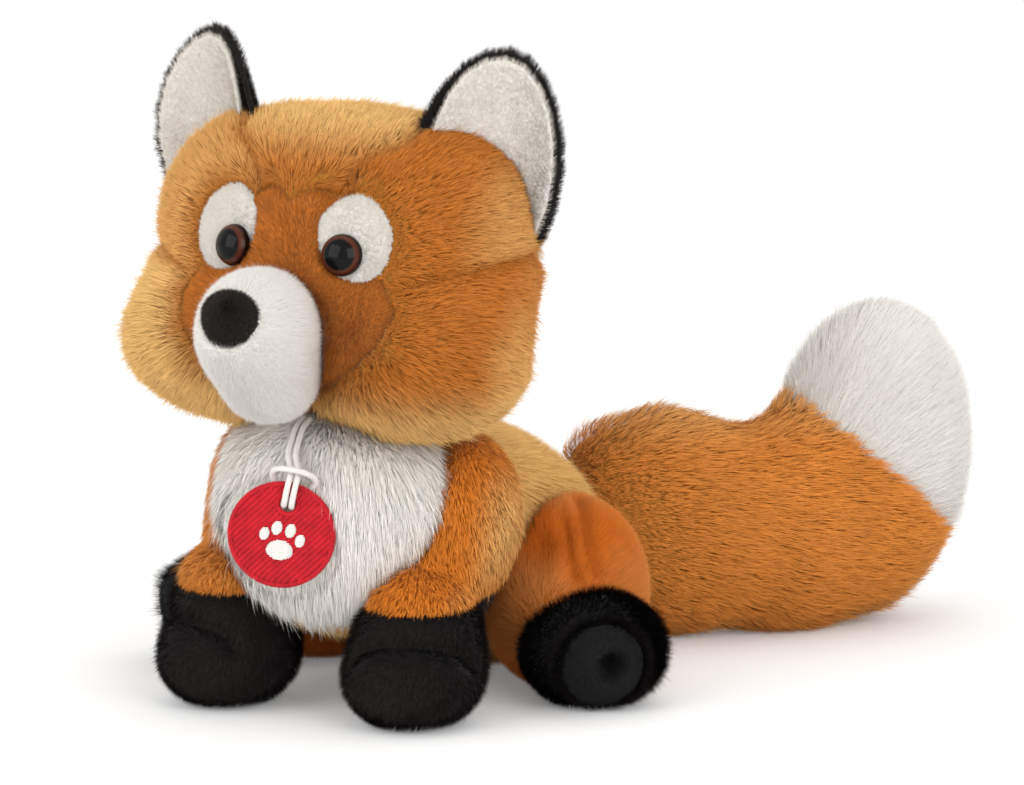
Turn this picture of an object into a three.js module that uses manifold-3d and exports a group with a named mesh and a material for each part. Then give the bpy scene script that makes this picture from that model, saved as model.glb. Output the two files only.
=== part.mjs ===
// Plush fox that stands on its four feet, its seat and its tail.
// Lengths are in millimetres, angles in degrees. The fox faces -Y, its left side is +X, and the floor is Z = 0.
// The origin is the middle of the seat, on the floor.
import * as THREE from "three";
import { mergeVertices } from "three/addons/utils/BufferGeometryUtils.js";
import Module from "manifold-3d";

const wasm = await Module();
wasm.setup();

// Play, cloth and cutting
const seamGap = 0.3; // between two pieces that are sewn together
const skinThickness = 3; // backing cloth with the pressed root of its pile
const flatDepth = 0.5; // how far a soft form is pressed flat by the floor
const cuttingReach = 400; // half size of a cutting block, past the whole toy

// Steps along each edge of the twenty-sided solid that a form is pushed out from
const formSteps = 4;
const limbSteps = 3;
const fillingSteps = 2;
const roundSides = 14; // of a small round piece
const drumSides = 28; // of a larger one
const patchSides = 12;
const domeRings = 4;
const earRings = 3;
const earSides = 20;
const mergingDistance = 1e-4; // under which two corners are one
const coarseSteps = 50; // of the walk from a form's heart to its skin
const halvings = 24; // of its last step
const approachSteps = 60; // of the walk from the front to a form's skin
const approachShare = 0.7; // of the distance left, that each of them covers

// Trunk
const seatWidth = 92;
const seatLength = 88;
const seatHeight = 80;
const loinWidth = 80;
const loinLength = 80;
const loinHeight = 76;
const loinForward = 36; // middle of the loin, ahead of the seat
const loinRise = 54;
const chestWidth = 84;
const chestLength = 78;
const chestHeight = 84;
const chestForward = 84;
const chestRise = 68;
const trunkSoftness = 24; // how broadly the trunk's bulges run into each other
const seatFlatRadius = 7; // of the flat that the floor presses under the seat
const seatFlatThickness = 2;
const seatFlatSides = 9;
const headPlay = 1.4; // between the head and the trunk, in every place the head turns to

// Neck ball, on which the head turns
const neckRadius = 38;
const neckForward = 74;
const neckRise = 72;
const neckOpeningRadius = 14; // the hole that the filling of the head reaches down through
const neckPlugRise = 98; // lower end of that filling
const neckPlay = 1.2; // round the ball
const neckTurns = [-17, -8.5, 0, 8.5, 17];

// Bib, as shares of half the chest width and of the chest height, in the front view
const bibOutlineShares = [
  [0, -0.43],
  [0.45, -0.22],
  [0.8, 0.05],
  [0.95, 0.3],
  [0.95, 0.75],
  [-0.95, 0.75],
  [-0.95, 0.3],
  [-0.8, 0.05],
  [-0.45, -0.22],
];

// Head
const headWidth = 132;
const headDepth = 100;
const headHeight = 106;
const headForward = 80;
const headRise = 149;
// Bulges of the cheeks and the temples, as shares of the head's width, depth and height: their sizes, and
// their middles out, forward and up from the middle of the head
const cheekSizeShares = [0.515, 0.68, 0.547];
const cheekPlaceShares = [0.295, 0.17, -0.236];
const templeSizeShares = [0.515, 0.68, 0.642];
const templePlaceShares = [0.242, 0, 0.151];
const headSoftness = 10;
const napeBehind = 20; // nape seam, behind the middle of the head

// Panel seams of the head, as shares of half its width and half its height, in the front view
const crownSeamShares = [
  [0, 0.54],
  [0.47, 0.86],
  [0.6, 1.6],
  [-0.6, 1.6],
  [-0.47, 0.86],
];
const maskSeamShares = [
  [0, -0.75],
  [0.34, -0.56],
  [0.55, -0.33],
  [0.62, -0.11],
  [0.52, 0.07],
  [0.2, 0.09],
  [0.14, 0.27],
  [0.18, 0.49],
  [0, 0.66],
  [-0.18, 0.49],
  [-0.14, 0.27],
  [-0.2, 0.09],
  [-0.52, 0.07],
  [-0.62, -0.11],
  [-0.55, -0.33],
  [-0.34, -0.56],
];
const templeSeamShares = [
  [0.3, 0],
  [0.56, 0],
  [1, 0.14],
  [1.6, 0.14],
  [1.6, 1.6],
  [0.3, 1.6],
];

// Muzzle, chin and nose
const muzzleWidth = 39;
const muzzleDepth = 50;
const muzzleHeight = 42;
const muzzleForward = 58; // from the middle of the head
const muzzleDrop = 16;
const snoutWidth = 28;
const snoutForward = 68;
const snoutDrop = 11;
const chinWidth = 30;
const chinDepth = 36;
const chinHeight = 26;
const chinForward = 50;
const chinDrop = 34;
const muzzleSoftness = 10;
const noseWidth = 22;
const noseDepth = 13;
const noseHeight = 20;
const noseForward = 79;
const noseDrop = 9;

// Eyes
const eyeDiameter = 14;
const eyeBulge = 5; // height of the dome
const eyeSink = 1; // how far its rim sits in the pile
const eyeSpacing = 42;
const eyeRise = 11; // above the middle of the head
const patchWidth = 29;
const patchHeight = 31;
const patchOut = 22.5; // middle of a patch, from the middle of the face
const patchRise = 15;
const shankDiameter = 3.2;
const shankLength = 12;
const shankPlay = 0.4; // round the shank, in the cloth and in the filling
const washerDiameter = 11;
const washerThickness = 1.6;
const washerSeat = 0.8; // from the cloth to the washer, at the shank
const socketDepth = 5; // how far the eye region is drawn in
const socketRadius = 20;

// Ears
const earWidth = 47;
const earTop = 47; // from the root to the tip
const earSink = 28; // part below the root, inside the head before it is cut off
const earCup = 14; // how far the rims come forward
const earClothThickness = 2.4;
const earLayerGap = 0.8; // between the lining and the back
const earRim = 2.4; // black rim round the lining
const earRootShares = [0.386, -0.09, 0.269]; // out, forward and up from the middle of the head
const earLean = 8; // outwards from upright
const earYaw = 16; // outwards from straight ahead

// Front legs and paws
const frontLegSpacing = 72;
const shoulderForward = 72;
const shoulderRise = 66;
const shoulderWidth = 46;
const shoulderDepth = 48;
const shoulderHeight = 64;
const ankleForward = 97;
const ankleRise = 30;
const ankleWidth = 42;
const ankleDepth = 42;
const ankleHeight = 52;
const toeForward = 101;
const toeWidth = 47;
const toeLength = 52;
const toeHeight = 33;
const pawSeamRise = 41;
const legSoftness = 9;

// Hind legs, feet and soles
const thighSpacing = 92;
const thighForward = 18;
const thighWidth = 56;
const thighLength = 74;
const thighHeight = 65;
const thighYaw = 20; // its front end points outwards
const footSpacing = 141;
const footForward = 42;
const footWidth = 46;
const footLength = 44;
const footHeight = 39;
const footYaw = 42; // the sole faces outwards from straight ahead
const soleDiameter = 30;
const soleThickness = 1.8;
const soleRise = 17;

// Tail
const tailRootYaw = 24; // of the root, from straight back towards the left
const tailRootRise = 37;
const tailRootDiameter = 34;
const tailDishDepth = 2; // how far the root sits in the seat
const tailKnobRadius = 22.5; // of the round end of the root, sewn into the seat
const tailKnobHeight = 18;
const brushThickness = 50;
const brushYaw = 36; // of the brush, from straight back towards the left
const brushNearHeight = 82;
const brushNearYaw = 50;
const brushNearLeft = 12; // middle of the first bulge, from the root
const brushNearBack = 10;
const brushNearLength = 66;
const brushMiddleLeft = 44;
const brushMiddleBack = 45;
const brushMiddleRise = 42;
const brushMiddleLength = 84;
const brushFarLeft = 62;
const brushFarBack = 74;
const brushFarRise = 42;
const brushFarLength = 50;
const brushFarHeight = 72;
const tipLeft = 63;
const tipBack = 77;
const tipRise = 67;
const brushHeight = 73;
const tipHeight = 90;
const tipLength = 66;
const tailSoftness = 14;
const tailPlay = 1.7; // between the tail and the seat, in every place the tail swings to
const tailTurns = [-6, 3, 12, 21, 30, 41];
const tipSeamRise = 48; // where the white end starts, on the middle of the tail
const tipSeamSlope = 43; // of the seam, down towards the end

// Tag and its cord
const tagDiameter = 36;
const tagThickness = 2.2;
const tagRimWidth = 2; // overcast edge
const tagRimRise = 0.5; // above the face
const tagForward = 130;
const tagLeft = 3;
const tagRise = 66.3;
const tagYaw = 26; // of its face, from straight ahead towards the left
const tagRoll = 12; // of its hole, from the top towards the left
const tagHoleDiameter = 6.4;
const tagHoleDrop = 7.5; // middle of the hole, below the top of the tag
const cordDiameter = 2.1;
const cordSides = 8;
const cordSteps = 36;

// The cord leaves the neck seam as two strands side by side. These are points midway between them.
const strandSpacing = 2.5;
const cordFall = [
  [0, -108.3, 101.3],
  [0.4, -113.2, 99.8],
  [1.8, -119, 96.2],
  [3.8, -124.6, 92],
];

// One strand on the tag, across, ahead and up from the tag's middle: down its face, into the hole, up behind it
// and over its edge, to where both strands meet in a bight
const strandOnTag = [
  [-1.25, 1.7, 21.2],
  [-1.25, 2.9, 16.7],
  [-1.25, 2.9, 13.2],
  [-1.25, 2.2, 10.9],
  [-1.3, 0, 9.9],
  [-1.5, -2.2, 10.4],
  [-3, -3.1, 12.7],
  [-5.5, -3, 15.7],
  [-7.2, -1.8, 18.9],
  [-6.6, 0.8, 21.1],
  [-4.4, 3.6, 22.5],
];
const bightOnTag = [0, 4.9, 23.1];

const rad = THREE.MathUtils.degToRad;

// Basic solids

function solidOf(geometry) {
  const bare = geometry.clone();
  bare.deleteAttribute("normal");
  bare.deleteAttribute("uv");
  const merged = mergeVertices(bare, mergingDistance);
  const corners = new Uint32Array(merged.index.array);
  const made = () =>
    new wasm.Manifold(
      new wasm.Mesh({
        numProp: 3,
        vertProperties: new Float32Array(merged.attributes.position.array),
        triVerts: corners,
      }),
    );
  if (made().volume() > 0) return made();
  corners.reverse();
  return made();
}

// The largest body of a solid, without the slivers that a cut leaves beside it.
function largest(solid) {
  return solid.decompose().reduce((a, b) => (a.volume() > b.volume() ? a : b));
}

function block(from, to) {
  const box = new THREE.Box3(new THREE.Vector3(...from), new THREE.Vector3(...to));
  const size = box.getSize(new THREE.Vector3());
  const middle = box.getCenter(new THREE.Vector3());
  return solidOf(new THREE.BoxGeometry(size.x, size.y, size.z).translate(middle.x, middle.y, middle.z));
}

const floorBlock = block([-cuttingReach, -cuttingReach, -cuttingReach], [cuttingReach, cuttingReach, 0]);

// Moves an outline, drawn counter-clockwise, outwards by a distance.
function widened(outline, distance) {
  return outline.map((point, i) => {
    const before = outline.at(i - 1);
    const after = outline[(i + 1) % outline.length];
    const first = point.clone().sub(before).normalize();
    const second = after.clone().sub(point).normalize();
    const outward = new THREE.Vector2(first.y + second.y, -first.x - second.x);
    const stretch = 2 / outward.lengthSq();
    return point.clone().addScaledVector(outward, distance * stretch);
  });
}

function outlineOf(shares, halfWidth, halfHeight, middleZ) {
  return shares.map(([x, z]) => new THREE.Vector2(x * halfWidth, middleZ + z * halfHeight));
}

// A prism whose outline is in the front view, from one Y forward to another.
function frontPrism(outline, backY, frontY) {
  const prism = new THREE.ExtrudeGeometry(new THREE.Shape(outline), {
    depth: backY - frontY,
    bevelEnabled: false,
  });
  return solidOf(prism.rotateX(Math.PI / 2).translate(0, backY, 0));
}

// Stuffed forms

// A ball of filling: an ellipsoid with its middle, its full sizes and its turn about the vertical.
function ball(middle, size, yaw = 0) {
  return {
    middle: new THREE.Vector3(...middle),
    half: new THREE.Vector3(...size).multiplyScalar(0.5),
    back: new THREE.Quaternion().setFromAxisAngle(new THREE.Vector3(0, 0, 1), -rad(yaw)),
  };
}

// Distance from a point to a ball, negative inside.
function distanceToBall(one, point) {
  const local = point.clone().sub(one.middle).applyQuaternion(one.back);
  const scaled = local.divide(one.half);
  const share = scaled.length();
  const steepness = scaled.divide(one.half).length();
  return steepness > 0 ? (share * (share - 1)) / steepness : -Math.min(...one.half.toArray());
}

function blended(a, b, softness) {
  const overlap = Math.max(softness - Math.abs(a - b), 0) / softness;
  return Math.min(a, b) - (overlap * overlap * softness) / 4;
}

// Distance from a point to the skin over all the balls, with the places where a thread draws the skin in.
// For a swept form it is the distance to the nearest of its turned places.
function distanceToForm(form, point) {
  if (form.turns) {
    const axis = new THREE.Vector3(0, 0, 1);
    const turned = (angle) => point.clone().sub(form.pivot).applyAxisAngle(axis, -rad(angle)).add(form.pivot);
    return Math.min(...form.turns.map((angle) => distanceToForm(form.still, turned(angle))));
  }
  const bulges = form.balls.map((one) => distanceToBall(one, point));
  const drawn = (form.draws ?? []).map(
    ({ at, depth, radius }) => depth * Math.exp(-point.distanceToSquared(at) / (radius * radius)),
  );
  const skin = bulges.reduce((a, b) => blended(a, b, form.softness));
  return drawn.reduce((a, b) => a + b, skin);
}

// The point where a ray, from the form's heart or another place inside, crosses its skin, grown by a distance.
function skinPoint(form, direction, grown = 0, from = form.heart) {
  const reach = (distance) => from.clone().addScaledVector(direction, distance);
  const beyond = (distance) => distanceToForm(form, reach(distance)) > grown;
  let inner = 0;
  let step = form.heart.distanceTo(form.box.max) / coarseSteps;
  while (!beyond(inner + step)) inner += step;
  for (let halving = 0; halving < halvings; halving++) {
    step /= 2;
    if (!beyond(inner + step)) inner += step;
  }
  return reach(inner);
}

function stuffedForm(steps, softness, heart, balls, draws = []) {
  const box = new THREE.Box3();
  for (const one of balls) {
    const radius = Math.max(one.half.x, one.half.y);
    const corner = new THREE.Vector3(radius, radius, one.half.z);
    box.expandByPoint(one.middle.clone().add(corner));
    box.expandByPoint(one.middle.clone().sub(corner));
  }
  return { steps, softness, heart: new THREE.Vector3(...heart), balls, draws, box };
}

// All the places that a form takes as it turns about an upright axis.
const swept = (form, pivot, turns) => ({ ...form, still: form, pivot, turns });

// The closed solid of a form, grown by a distance.
function stuffed(form, grown = 0, steps = form.steps) {
  const unit = new THREE.IcosahedronGeometry(1, steps);
  unit.deleteAttribute("normal");
  unit.deleteAttribute("uv");
  const skin = mergeVertices(unit);
  const spread = form.box.getSize(new THREE.Vector3());
  const place = skin.attributes.position;
  const direction = new THREE.Vector3();
  for (let i = 0; i < place.count; i++) {
    direction.fromBufferAttribute(place, i).multiply(spread).normalize();
    place.setXYZ(i, ...skinPoint(form, direction, grown).toArray());
  }
  return solidOf(skin);
}

// Outward direction of a form's skin at a point.
function outwardAt(form, point) {
  const step = seamGap;
  const slope = (axis) => {
    const shift = new THREE.Vector3().setComponent(axis, step);
    return (
      distanceToForm(form, point.clone().add(shift)) - distanceToForm(form, point.clone().sub(shift))
    );
  };
  return new THREE.Vector3(slope(0), slope(1), slope(2)).normalize();
}

// The point on a form's skin that shows at a place of the front view.
function frontPoint(form, x, z) {
  const point = new THREE.Vector3(x, form.box.min.y, z);
  for (let step = 0; step < approachSteps; step++) {
    point.y += Math.max(distanceToForm(form, point), 0) * approachShare;
  }
  return point;
}

// Turns and places a lathe solid so that its axis points along a direction from a point.
function lathe(profile, sides, at, direction) {
  const turned = new THREE.LatheGeometry(
    profile.map(([radius, height]) => new THREE.Vector2(radius, height)),
    sides,
  );
  const turn = new THREE.Quaternion().setFromUnitVectors(new THREE.Vector3(0, 1, 0), direction);
  turned.applyQuaternion(turn).translate(at.x, at.y, at.z);
  return solidOf(turned);
}

const upward = new THREE.Vector3(0, 0, 1);

// An upright drum between two heights.
function drum(radius, bottom, top, at) {
  const profile = [
    [0, bottom],
    [radius, bottom],
    [radius, top],
    [0, top],
  ];
  return lathe(profile, drumSides, new THREE.Vector3(at.x, at.y, 0), upward);
}

// The toy as one group, a mesh for each piece

const fox = new THREE.Group();

const looks = {
  golden: { color: 0xdcaa58, roughness: 0.95 },
  russet: { color: 0xbc762f, roughness: 0.95 },
  shortRusset: { color: 0xb06a28, roughness: 0.95 },
  rust: { color: 0xc8641e, roughness: 0.95 },
  white: { color: 0xe8e4e0, roughness: 0.95 },
  black: { color: 0x1e1a1a, roughness: 0.95 },
  sole: { color: 0x2e3032, roughness: 0.9 },
  filling: { color: 0xf2f2ee, roughness: 1 },
  eye: { color: 0x2a1510, roughness: 0.08 },
  washer: { color: 0xdddddd, roughness: 0.5 },
  red: { color: 0xc8202f, roughness: 0.8 },
  cord: { color: 0xf0f0ee, roughness: 0.8 },
};

function add(name, solid, look) {
  const { vertProperties, triVerts, numProp } = solid.getMesh();
  const geometry = new THREE.BufferGeometry();
  const buffer = new THREE.InterleavedBuffer(new Float32Array(vertProperties), numProp);
  geometry.setAttribute("position", new THREE.InterleavedBufferAttribute(buffer, 3, 0));
  geometry.setIndex(new THREE.BufferAttribute(triVerts, 1));
  const place = geometry.toNonIndexed();
  place.computeVertexNormals();
  const mesh = new THREE.Mesh(place, new THREE.MeshStandardMaterial({ metalness: 0, ...looks[look] }));
  mesh.name = name;
  fox.add(mesh);
}

const sides = [
  { side: 1, word: "left" },
  { side: -1, word: "right" },
];

// Forms of the trunk, the head and the limbs

const neckMiddle = new THREE.Vector3(0, -neckForward, neckRise);

const trunk = stuffedForm(
  formSteps,
  trunkSoftness,
  [0, -loinForward, loinRise],
  [
    ball([0, 0, seatHeight / 2 - flatDepth], [seatWidth, seatLength, seatHeight]),
    ball([0, -loinForward, loinRise], [loinWidth, loinLength, loinHeight]),
    ball([0, -chestForward, chestRise], [chestWidth, chestLength, chestHeight]),
  ],
);

const headMiddle = new THREE.Vector3(0, -headForward, headRise);

function headBulge(side, sizeShares, [out, ahead, up]) {
  const middle = [
    side * out * headWidth,
    -headForward - ahead * headDepth,
    headRise + up * headHeight,
  ];
  const size = [sizeShares[0] * headWidth, sizeShares[1] * headDepth, sizeShares[2] * headHeight];
  return ball(middle, size);
}

const skull = stuffedForm(
  formSteps,
  headSoftness,
  headMiddle.toArray(),
  [
    ball(headMiddle.toArray(), [headWidth, headDepth, headHeight]),
    ...sides.map(({ side }) => headBulge(side, templeSizeShares, templePlaceShares)),
    ...sides.map(({ side }) => headBulge(side, cheekSizeShares, cheekPlaceShares)),
  ],
);
skull.draws = sides.map(({ side }) => ({
  at: frontPoint(skull, (side * eyeSpacing) / 2, headRise + eyeRise),
  depth: socketDepth,
  radius: socketRadius,
}));

const muzzleForm = stuffedForm(
  limbSteps,
  muzzleSoftness,
  [0, -headForward - muzzleForward, headRise - muzzleDrop],
  [
    ball([0, -headForward - muzzleForward, headRise - muzzleDrop], [muzzleWidth, muzzleDepth, muzzleHeight]),
    ball([0, -headForward - snoutForward, headRise - snoutDrop], [snoutWidth, snoutWidth, snoutWidth]),
    ball([0, -headForward - chinForward, headRise - chinDrop], [chinWidth, chinDepth, chinHeight]),
  ],
);

const noseForm = stuffedForm(
  fillingSteps,
  muzzleSoftness,
  [0, -headForward - noseForward, headRise - noseDrop],
  [ball([0, -headForward - noseForward, headRise - noseDrop], [noseWidth, noseDepth, noseHeight])],
);

function frontLimb(side) {
  const x = (side * frontLegSpacing) / 2;
  return stuffedForm(
    limbSteps,
    legSoftness,
    [x, -ankleForward, ankleRise],
    [
      ball([x, -shoulderForward, shoulderRise], [shoulderWidth, shoulderDepth, shoulderHeight]),
      ball([x, -ankleForward, ankleRise], [ankleWidth, ankleDepth, ankleHeight]),
      ball([x, -toeForward, toeHeight / 2 - flatDepth], [toeWidth, toeLength, toeHeight]),
    ],
  );
}

function thighForm(side) {
  const middle = [(side * thighSpacing) / 2, -thighForward, thighHeight / 2 - flatDepth];
  return stuffedForm(limbSteps, legSoftness, middle, [
    ball(middle, [thighWidth, thighLength, thighHeight], side * thighYaw),
  ]);
}

function footForm(side) {
  const middle = [(side * footSpacing) / 2, -footForward, footHeight / 2 - flatDepth];
  return stuffedForm(limbSteps, legSoftness, middle, [
    ball(middle, [footWidth, footLength, footHeight], side * footYaw),
  ]);
}

// Head

const neckForm = stuffedForm(fillingSteps, trunkSoftness, neckMiddle.toArray(), [
  ball(neckMiddle.toArray(), [neckRadius * 2, neckRadius * 2, neckRadius * 2]),
]);

const neckRoom = stuffed(neckForm, neckPlay);
const headShell = stuffed(skull)
  .subtract(stuffed(skull, -skinThickness, fillingSteps))
  .subtract(neckRoom);

const halfHeadWidth = headWidth / 2;
const halfHeadHeight = headHeight / 2;
const headOutline = (shares) => outlineOf(shares, halfHeadWidth, halfHeadHeight, headRise);

const backOfAll = cuttingReach;
const frontOfAll = -cuttingReach;
const napeY = -headForward + napeBehind;

const crownOutline = headOutline(crownSeamShares);
const maskOutline = headOutline(maskSeamShares);

const crown = headShell.intersect(frontPrism(crownOutline, backOfAll, frontOfAll));
const belowCrown = headShell.subtract(frontPrism(widened(crownOutline, seamGap), backOfAll, frontOfAll));
const nape = belowCrown.intersect(
  block([-cuttingReach, napeY + seamGap, 0], [cuttingReach, cuttingReach, cuttingReach]),
);
const face = belowCrown.intersect(block([-cuttingReach, frontOfAll, 0], [cuttingReach, napeY, cuttingReach]));

const muzzleSolid = stuffed(muzzleForm);
const muzzleRoom = stuffed(muzzleForm, seamGap);

// Eyes

function eyeSeat(side) {
  const point = frontPoint(skull, (side * eyeSpacing) / 2, headRise + eyeRise);
  return { point, outward: outwardAt(skull, point) };
}

function domeProfile(radius, height, base) {
  const sphere = (radius * radius + height * height) / (2 * height);
  const widest = Math.asin(Math.min(radius / sphere, 1));
  return Array.from({ length: domeRings + 1 }, (_, i) => {
    const angle = (widest * i) / domeRings;
    return [sphere * Math.sin(angle), base + height - sphere * (1 - Math.cos(angle))];
  });
}

const washerTop = -skinThickness - washerSeat;
const washerBottom = washerTop - washerThickness;

function eyeSolid({ point, outward }) {
  const shank = shankDiameter / 2;
  const profile = [
    ...domeProfile(eyeDiameter / 2, eyeBulge, -eyeSink),
    [shank, -eyeSink],
    [shank, -shankLength],
    [0, -shankLength],
  ];
  return lathe(profile, roundSides, point, outward);
}

// What the eye takes out of the cloth: its seat and the hole for its shank.
function eyeRoom({ point, outward }) {
  const rim = eyeDiameter / 2 + seamGap;
  const hole = shankDiameter / 2 + shankPlay;
  const profile = [
    [0, eyeBulge],
    [rim, eyeBulge],
    [rim, -eyeSink - seamGap],
    [hole, -eyeSink - seamGap],
    [hole, -shankLength - seamGap],
    [0, -shankLength - seamGap],
  ];
  return lathe(profile, roundSides, point, outward);
}

function washerSolid({ point, outward }) {
  const hole = shankDiameter / 2 + seamGap;
  const rim = washerDiameter / 2;
  const profile = [
    [hole, washerTop],
    [rim, washerTop],
    [rim, washerBottom],
    [hole, washerBottom],
    [hole, washerTop],
  ];
  return lathe(profile, roundSides, point, outward);
}

function washerRoom({ point, outward }) {
  const rim = washerDiameter / 2 + seamGap;
  const profile = [
    [0, 0],
    [rim, 0],
    [rim, washerBottom - seamGap],
    [0, washerBottom - seamGap],
  ];
  return lathe(profile, roundSides, point, outward);
}

function patchOutline(side, grown) {
  const curve = new THREE.EllipseCurve(
    side * patchOut,
    headRise + patchRise,
    patchWidth / 2 + grown,
    patchHeight / 2 + grown,
  );
  return curve.getPoints(patchSides).slice(0, -1);
}

const patchPrism = (side, grown) => frontPrism(patchOutline(side, grown), -headForward, frontOfAll);

const withoutPatches = (solid) =>
  sides.reduce((rest, { side }) => rest.subtract(patchPrism(side, seamGap)), solid);

add("crown", largest(withoutPatches(crown)), "golden");
add("nape", largest(nape), "golden");
const mask = withoutPatches(face)
  .intersect(frontPrism(maskOutline, napeY, frontOfAll))
  .subtract(muzzleRoom);
add("face_mask", largest(mask), "shortRusset");
const faceSides = withoutPatches(face)
  .subtract(frontPrism(widened(maskOutline, seamGap), napeY, frontOfAll))
  .subtract(muzzleRoom);

for (const { side, word } of sides) {
  const half = block(
    [side > 0 ? seamGap / 2 : -cuttingReach, frontOfAll, 0],
    [side > 0 ? cuttingReach : -seamGap / 2, backOfAll, cuttingReach],
  );
  const templeOutline = headOutline(templeSeamShares.map(([x, z]) => [side * x, z]));
  if (side < 0) templeOutline.reverse();
  const sideOfFace = faceSides.intersect(half);
  const temple = sideOfFace.intersect(frontPrism(templeOutline, napeY, frontOfAll));
  add("temple_" + word, largest(temple), "russet");
  const cheek = sideOfFace.subtract(frontPrism(widened(templeOutline, seamGap), napeY, frontOfAll));
  add("cheek_" + word, largest(cheek), "russet");

  const seat = eyeSeat(side);
  const patch = headShell.intersect(patchPrism(side, 0)).subtract(eyeRoom(seat));
  add("eye_patch_" + word, largest(patch), "white");
  add("eye_" + word, eyeSolid(seat), "eye");
  add("eye_washer_" + word, washerSolid(seat), "washer");
}

const filling = sides.reduce(
  (rest, { side }) => rest.subtract(eyeRoom(eyeSeat(side))).subtract(washerRoom(eyeSeat(side))),
  stuffed(skull, -skinThickness - seamGap, fillingSteps)
    .subtract(neckRoom)
    .add(drum(neckOpeningRadius - seamGap, neckPlugRise, headRise, neckMiddle)),
);
add("head_stuffing", largest(filling), "filling");

const fillingRoom = stuffed(skull, -skinThickness, fillingSteps);
const muzzle = muzzleSolid.subtract(fillingRoom);
add("muzzle", largest(muzzle.subtract(stuffed(noseForm, seamGap))), "white");
add("nose", stuffed(noseForm), "black");

// Ears

// One layer of an ear, between two depths in front of the middle of its cup, drawn in from the rim by an inset.
function earLayer(side, backDepth, frontDepth, inset) {
  const rings = Array.from({ length: earRings + 1 }, (_, i) => i / earRings);
  const profile = [
    ...rings.map((share) => new THREE.Vector2(share, frontDepth)),
    ...rings.toReversed().map((share) => new THREE.Vector2(share, backDepth)),
  ];
  const layer = new THREE.LatheGeometry(profile, earSides);
  const halfWidth = earWidth / 2;
  const middle = (earTop - earSink) / 2;
  const halfHeight = (earTop + earSink) / 2;
  const place = layer.attributes.position;
  for (let i = 0; i < place.count; i++) {
    const across = place.getX(i) * (halfWidth - inset);
    const up = middle + place.getZ(i) * (halfHeight - inset);
    const cup = earCup * (across / halfWidth) ** 2;
    place.setXYZ(i, side * across, -cup - place.getY(i), up);
  }
  layer.rotateY(rad(side * earLean));
  layer.rotateZ(rad(side * earYaw));
  const [out, ahead, up] = earRootShares;
  layer.translate(side * out * headWidth, -headForward - ahead * headDepth, headRise + up * headHeight);
  return solidOf(layer);
}

const skullRoom = stuffed(skull, seamGap);

for (const { side, word } of sides) {
  const lining = earLayer(side, 0, earClothThickness, earRim);
  const back = earLayer(side, -earLayerGap - earClothThickness, -earLayerGap, 0);
  add("ear_lining_" + word, largest(lining.subtract(skullRoom)), "white");
  add("ear_back_" + word, largest(back.subtract(skullRoom)), "black");
}

// Trunk

// The trunk with the neck ball, clear of the head.
const headSweep = swept(skull, neckMiddle, neckTurns);
const trunkSolid = (grown, steps) =>
  stuffed(trunk, grown, steps).subtract(stuffed(headSweep, headPlay - grown)).add(stuffed(neckForm, grown));

function seatFlat() {
  const curve = new THREE.EllipseCurve(0, 0, seatFlatRadius, seatFlatRadius);
  const outline = new THREE.Shape(curve.getPoints(seatFlatSides).slice(0, -1));
  return solidOf(new THREE.ExtrudeGeometry(outline, { depth: seatFlatThickness, bevelEnabled: false }));
}

const trunkShell = trunkSolid(0)
  .subtract(trunkSolid(-skinThickness, fillingSteps))
  .subtract(drum(neckOpeningRadius, neckRise, cuttingReach, neckMiddle))
  .subtract(floorBlock)
  .add(seatFlat());

const bibOutline = outlineOf(bibOutlineShares, chestWidth / 2, chestHeight, chestRise);
const bib = trunkShell.intersect(frontPrism(bibOutline, -chestForward, frontOfAll));
const trunkSkin = trunkShell.subtract(
  frontPrism(widened(bibOutline, seamGap), -chestForward + seamGap, frontOfAll),
);
add("bib", largest(bib), "white");

const tailRoot = skinPoint(
  trunk,
  new THREE.Vector3(Math.sin(rad(tailRootYaw)), Math.cos(rad(tailRootYaw)), 0),
  tailRootDiameter / 2 - tailDishDepth,
  new THREE.Vector3(0, 0, tailRootRise),
);

// Tail

const tail = stuffedForm(
  formSteps,
  tailSoftness,
  [tailRoot.x + brushMiddleLeft, tailRoot.y + brushMiddleBack, brushMiddleRise],
  [
    ball(tailRoot.toArray(), [tailRootDiameter, tailRootDiameter, tailRootDiameter]),
    ball(
      [tailRoot.x + brushNearLeft, tailRoot.y + brushNearBack, brushNearHeight / 2 - flatDepth],
      [brushThickness, brushNearLength, brushNearHeight],
      -brushNearYaw,
    ),
    ball(
      [tailRoot.x + brushMiddleLeft, tailRoot.y + brushMiddleBack, brushHeight / 2 - flatDepth],
      [brushThickness, brushMiddleLength, brushHeight],
      -brushYaw,
    ),
    ball(
      [tailRoot.x + brushFarLeft, tailRoot.y + brushFarBack, brushFarRise],
      [brushThickness, brushFarLength, brushFarHeight],
      -brushYaw,
    ),
    ball(
      [tailRoot.x + tipLeft, tailRoot.y + tipBack, tipRise],
      [brushThickness, tipLength, tipHeight],
      -brushYaw,
    ),
  ],
);

const tailAlong = new THREE.Vector3(Math.sin(rad(brushYaw)), Math.cos(rad(brushYaw)), 0);
const seamOutward = tailAlong
  .clone()
  .multiplyScalar(Math.sin(rad(tipSeamSlope)))
  .add(new THREE.Vector3(0, 0, Math.cos(rad(tipSeamSlope))));

// Everything beyond the seam of the white end, from a distance past the seam.
function beyondTipSeam(distance) {
  const at = new THREE.Vector3(tailRoot.x + tipLeft, tailRoot.y + tipBack, tipSeamRise);
  at.addScaledVector(seamOutward, distance);
  const profile = [
    [0, 0],
    [cuttingReach, 0],
    [cuttingReach, cuttingReach],
    [0, cuttingReach],
  ];
  return lathe(profile, 4, at, seamOutward);
}

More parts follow.
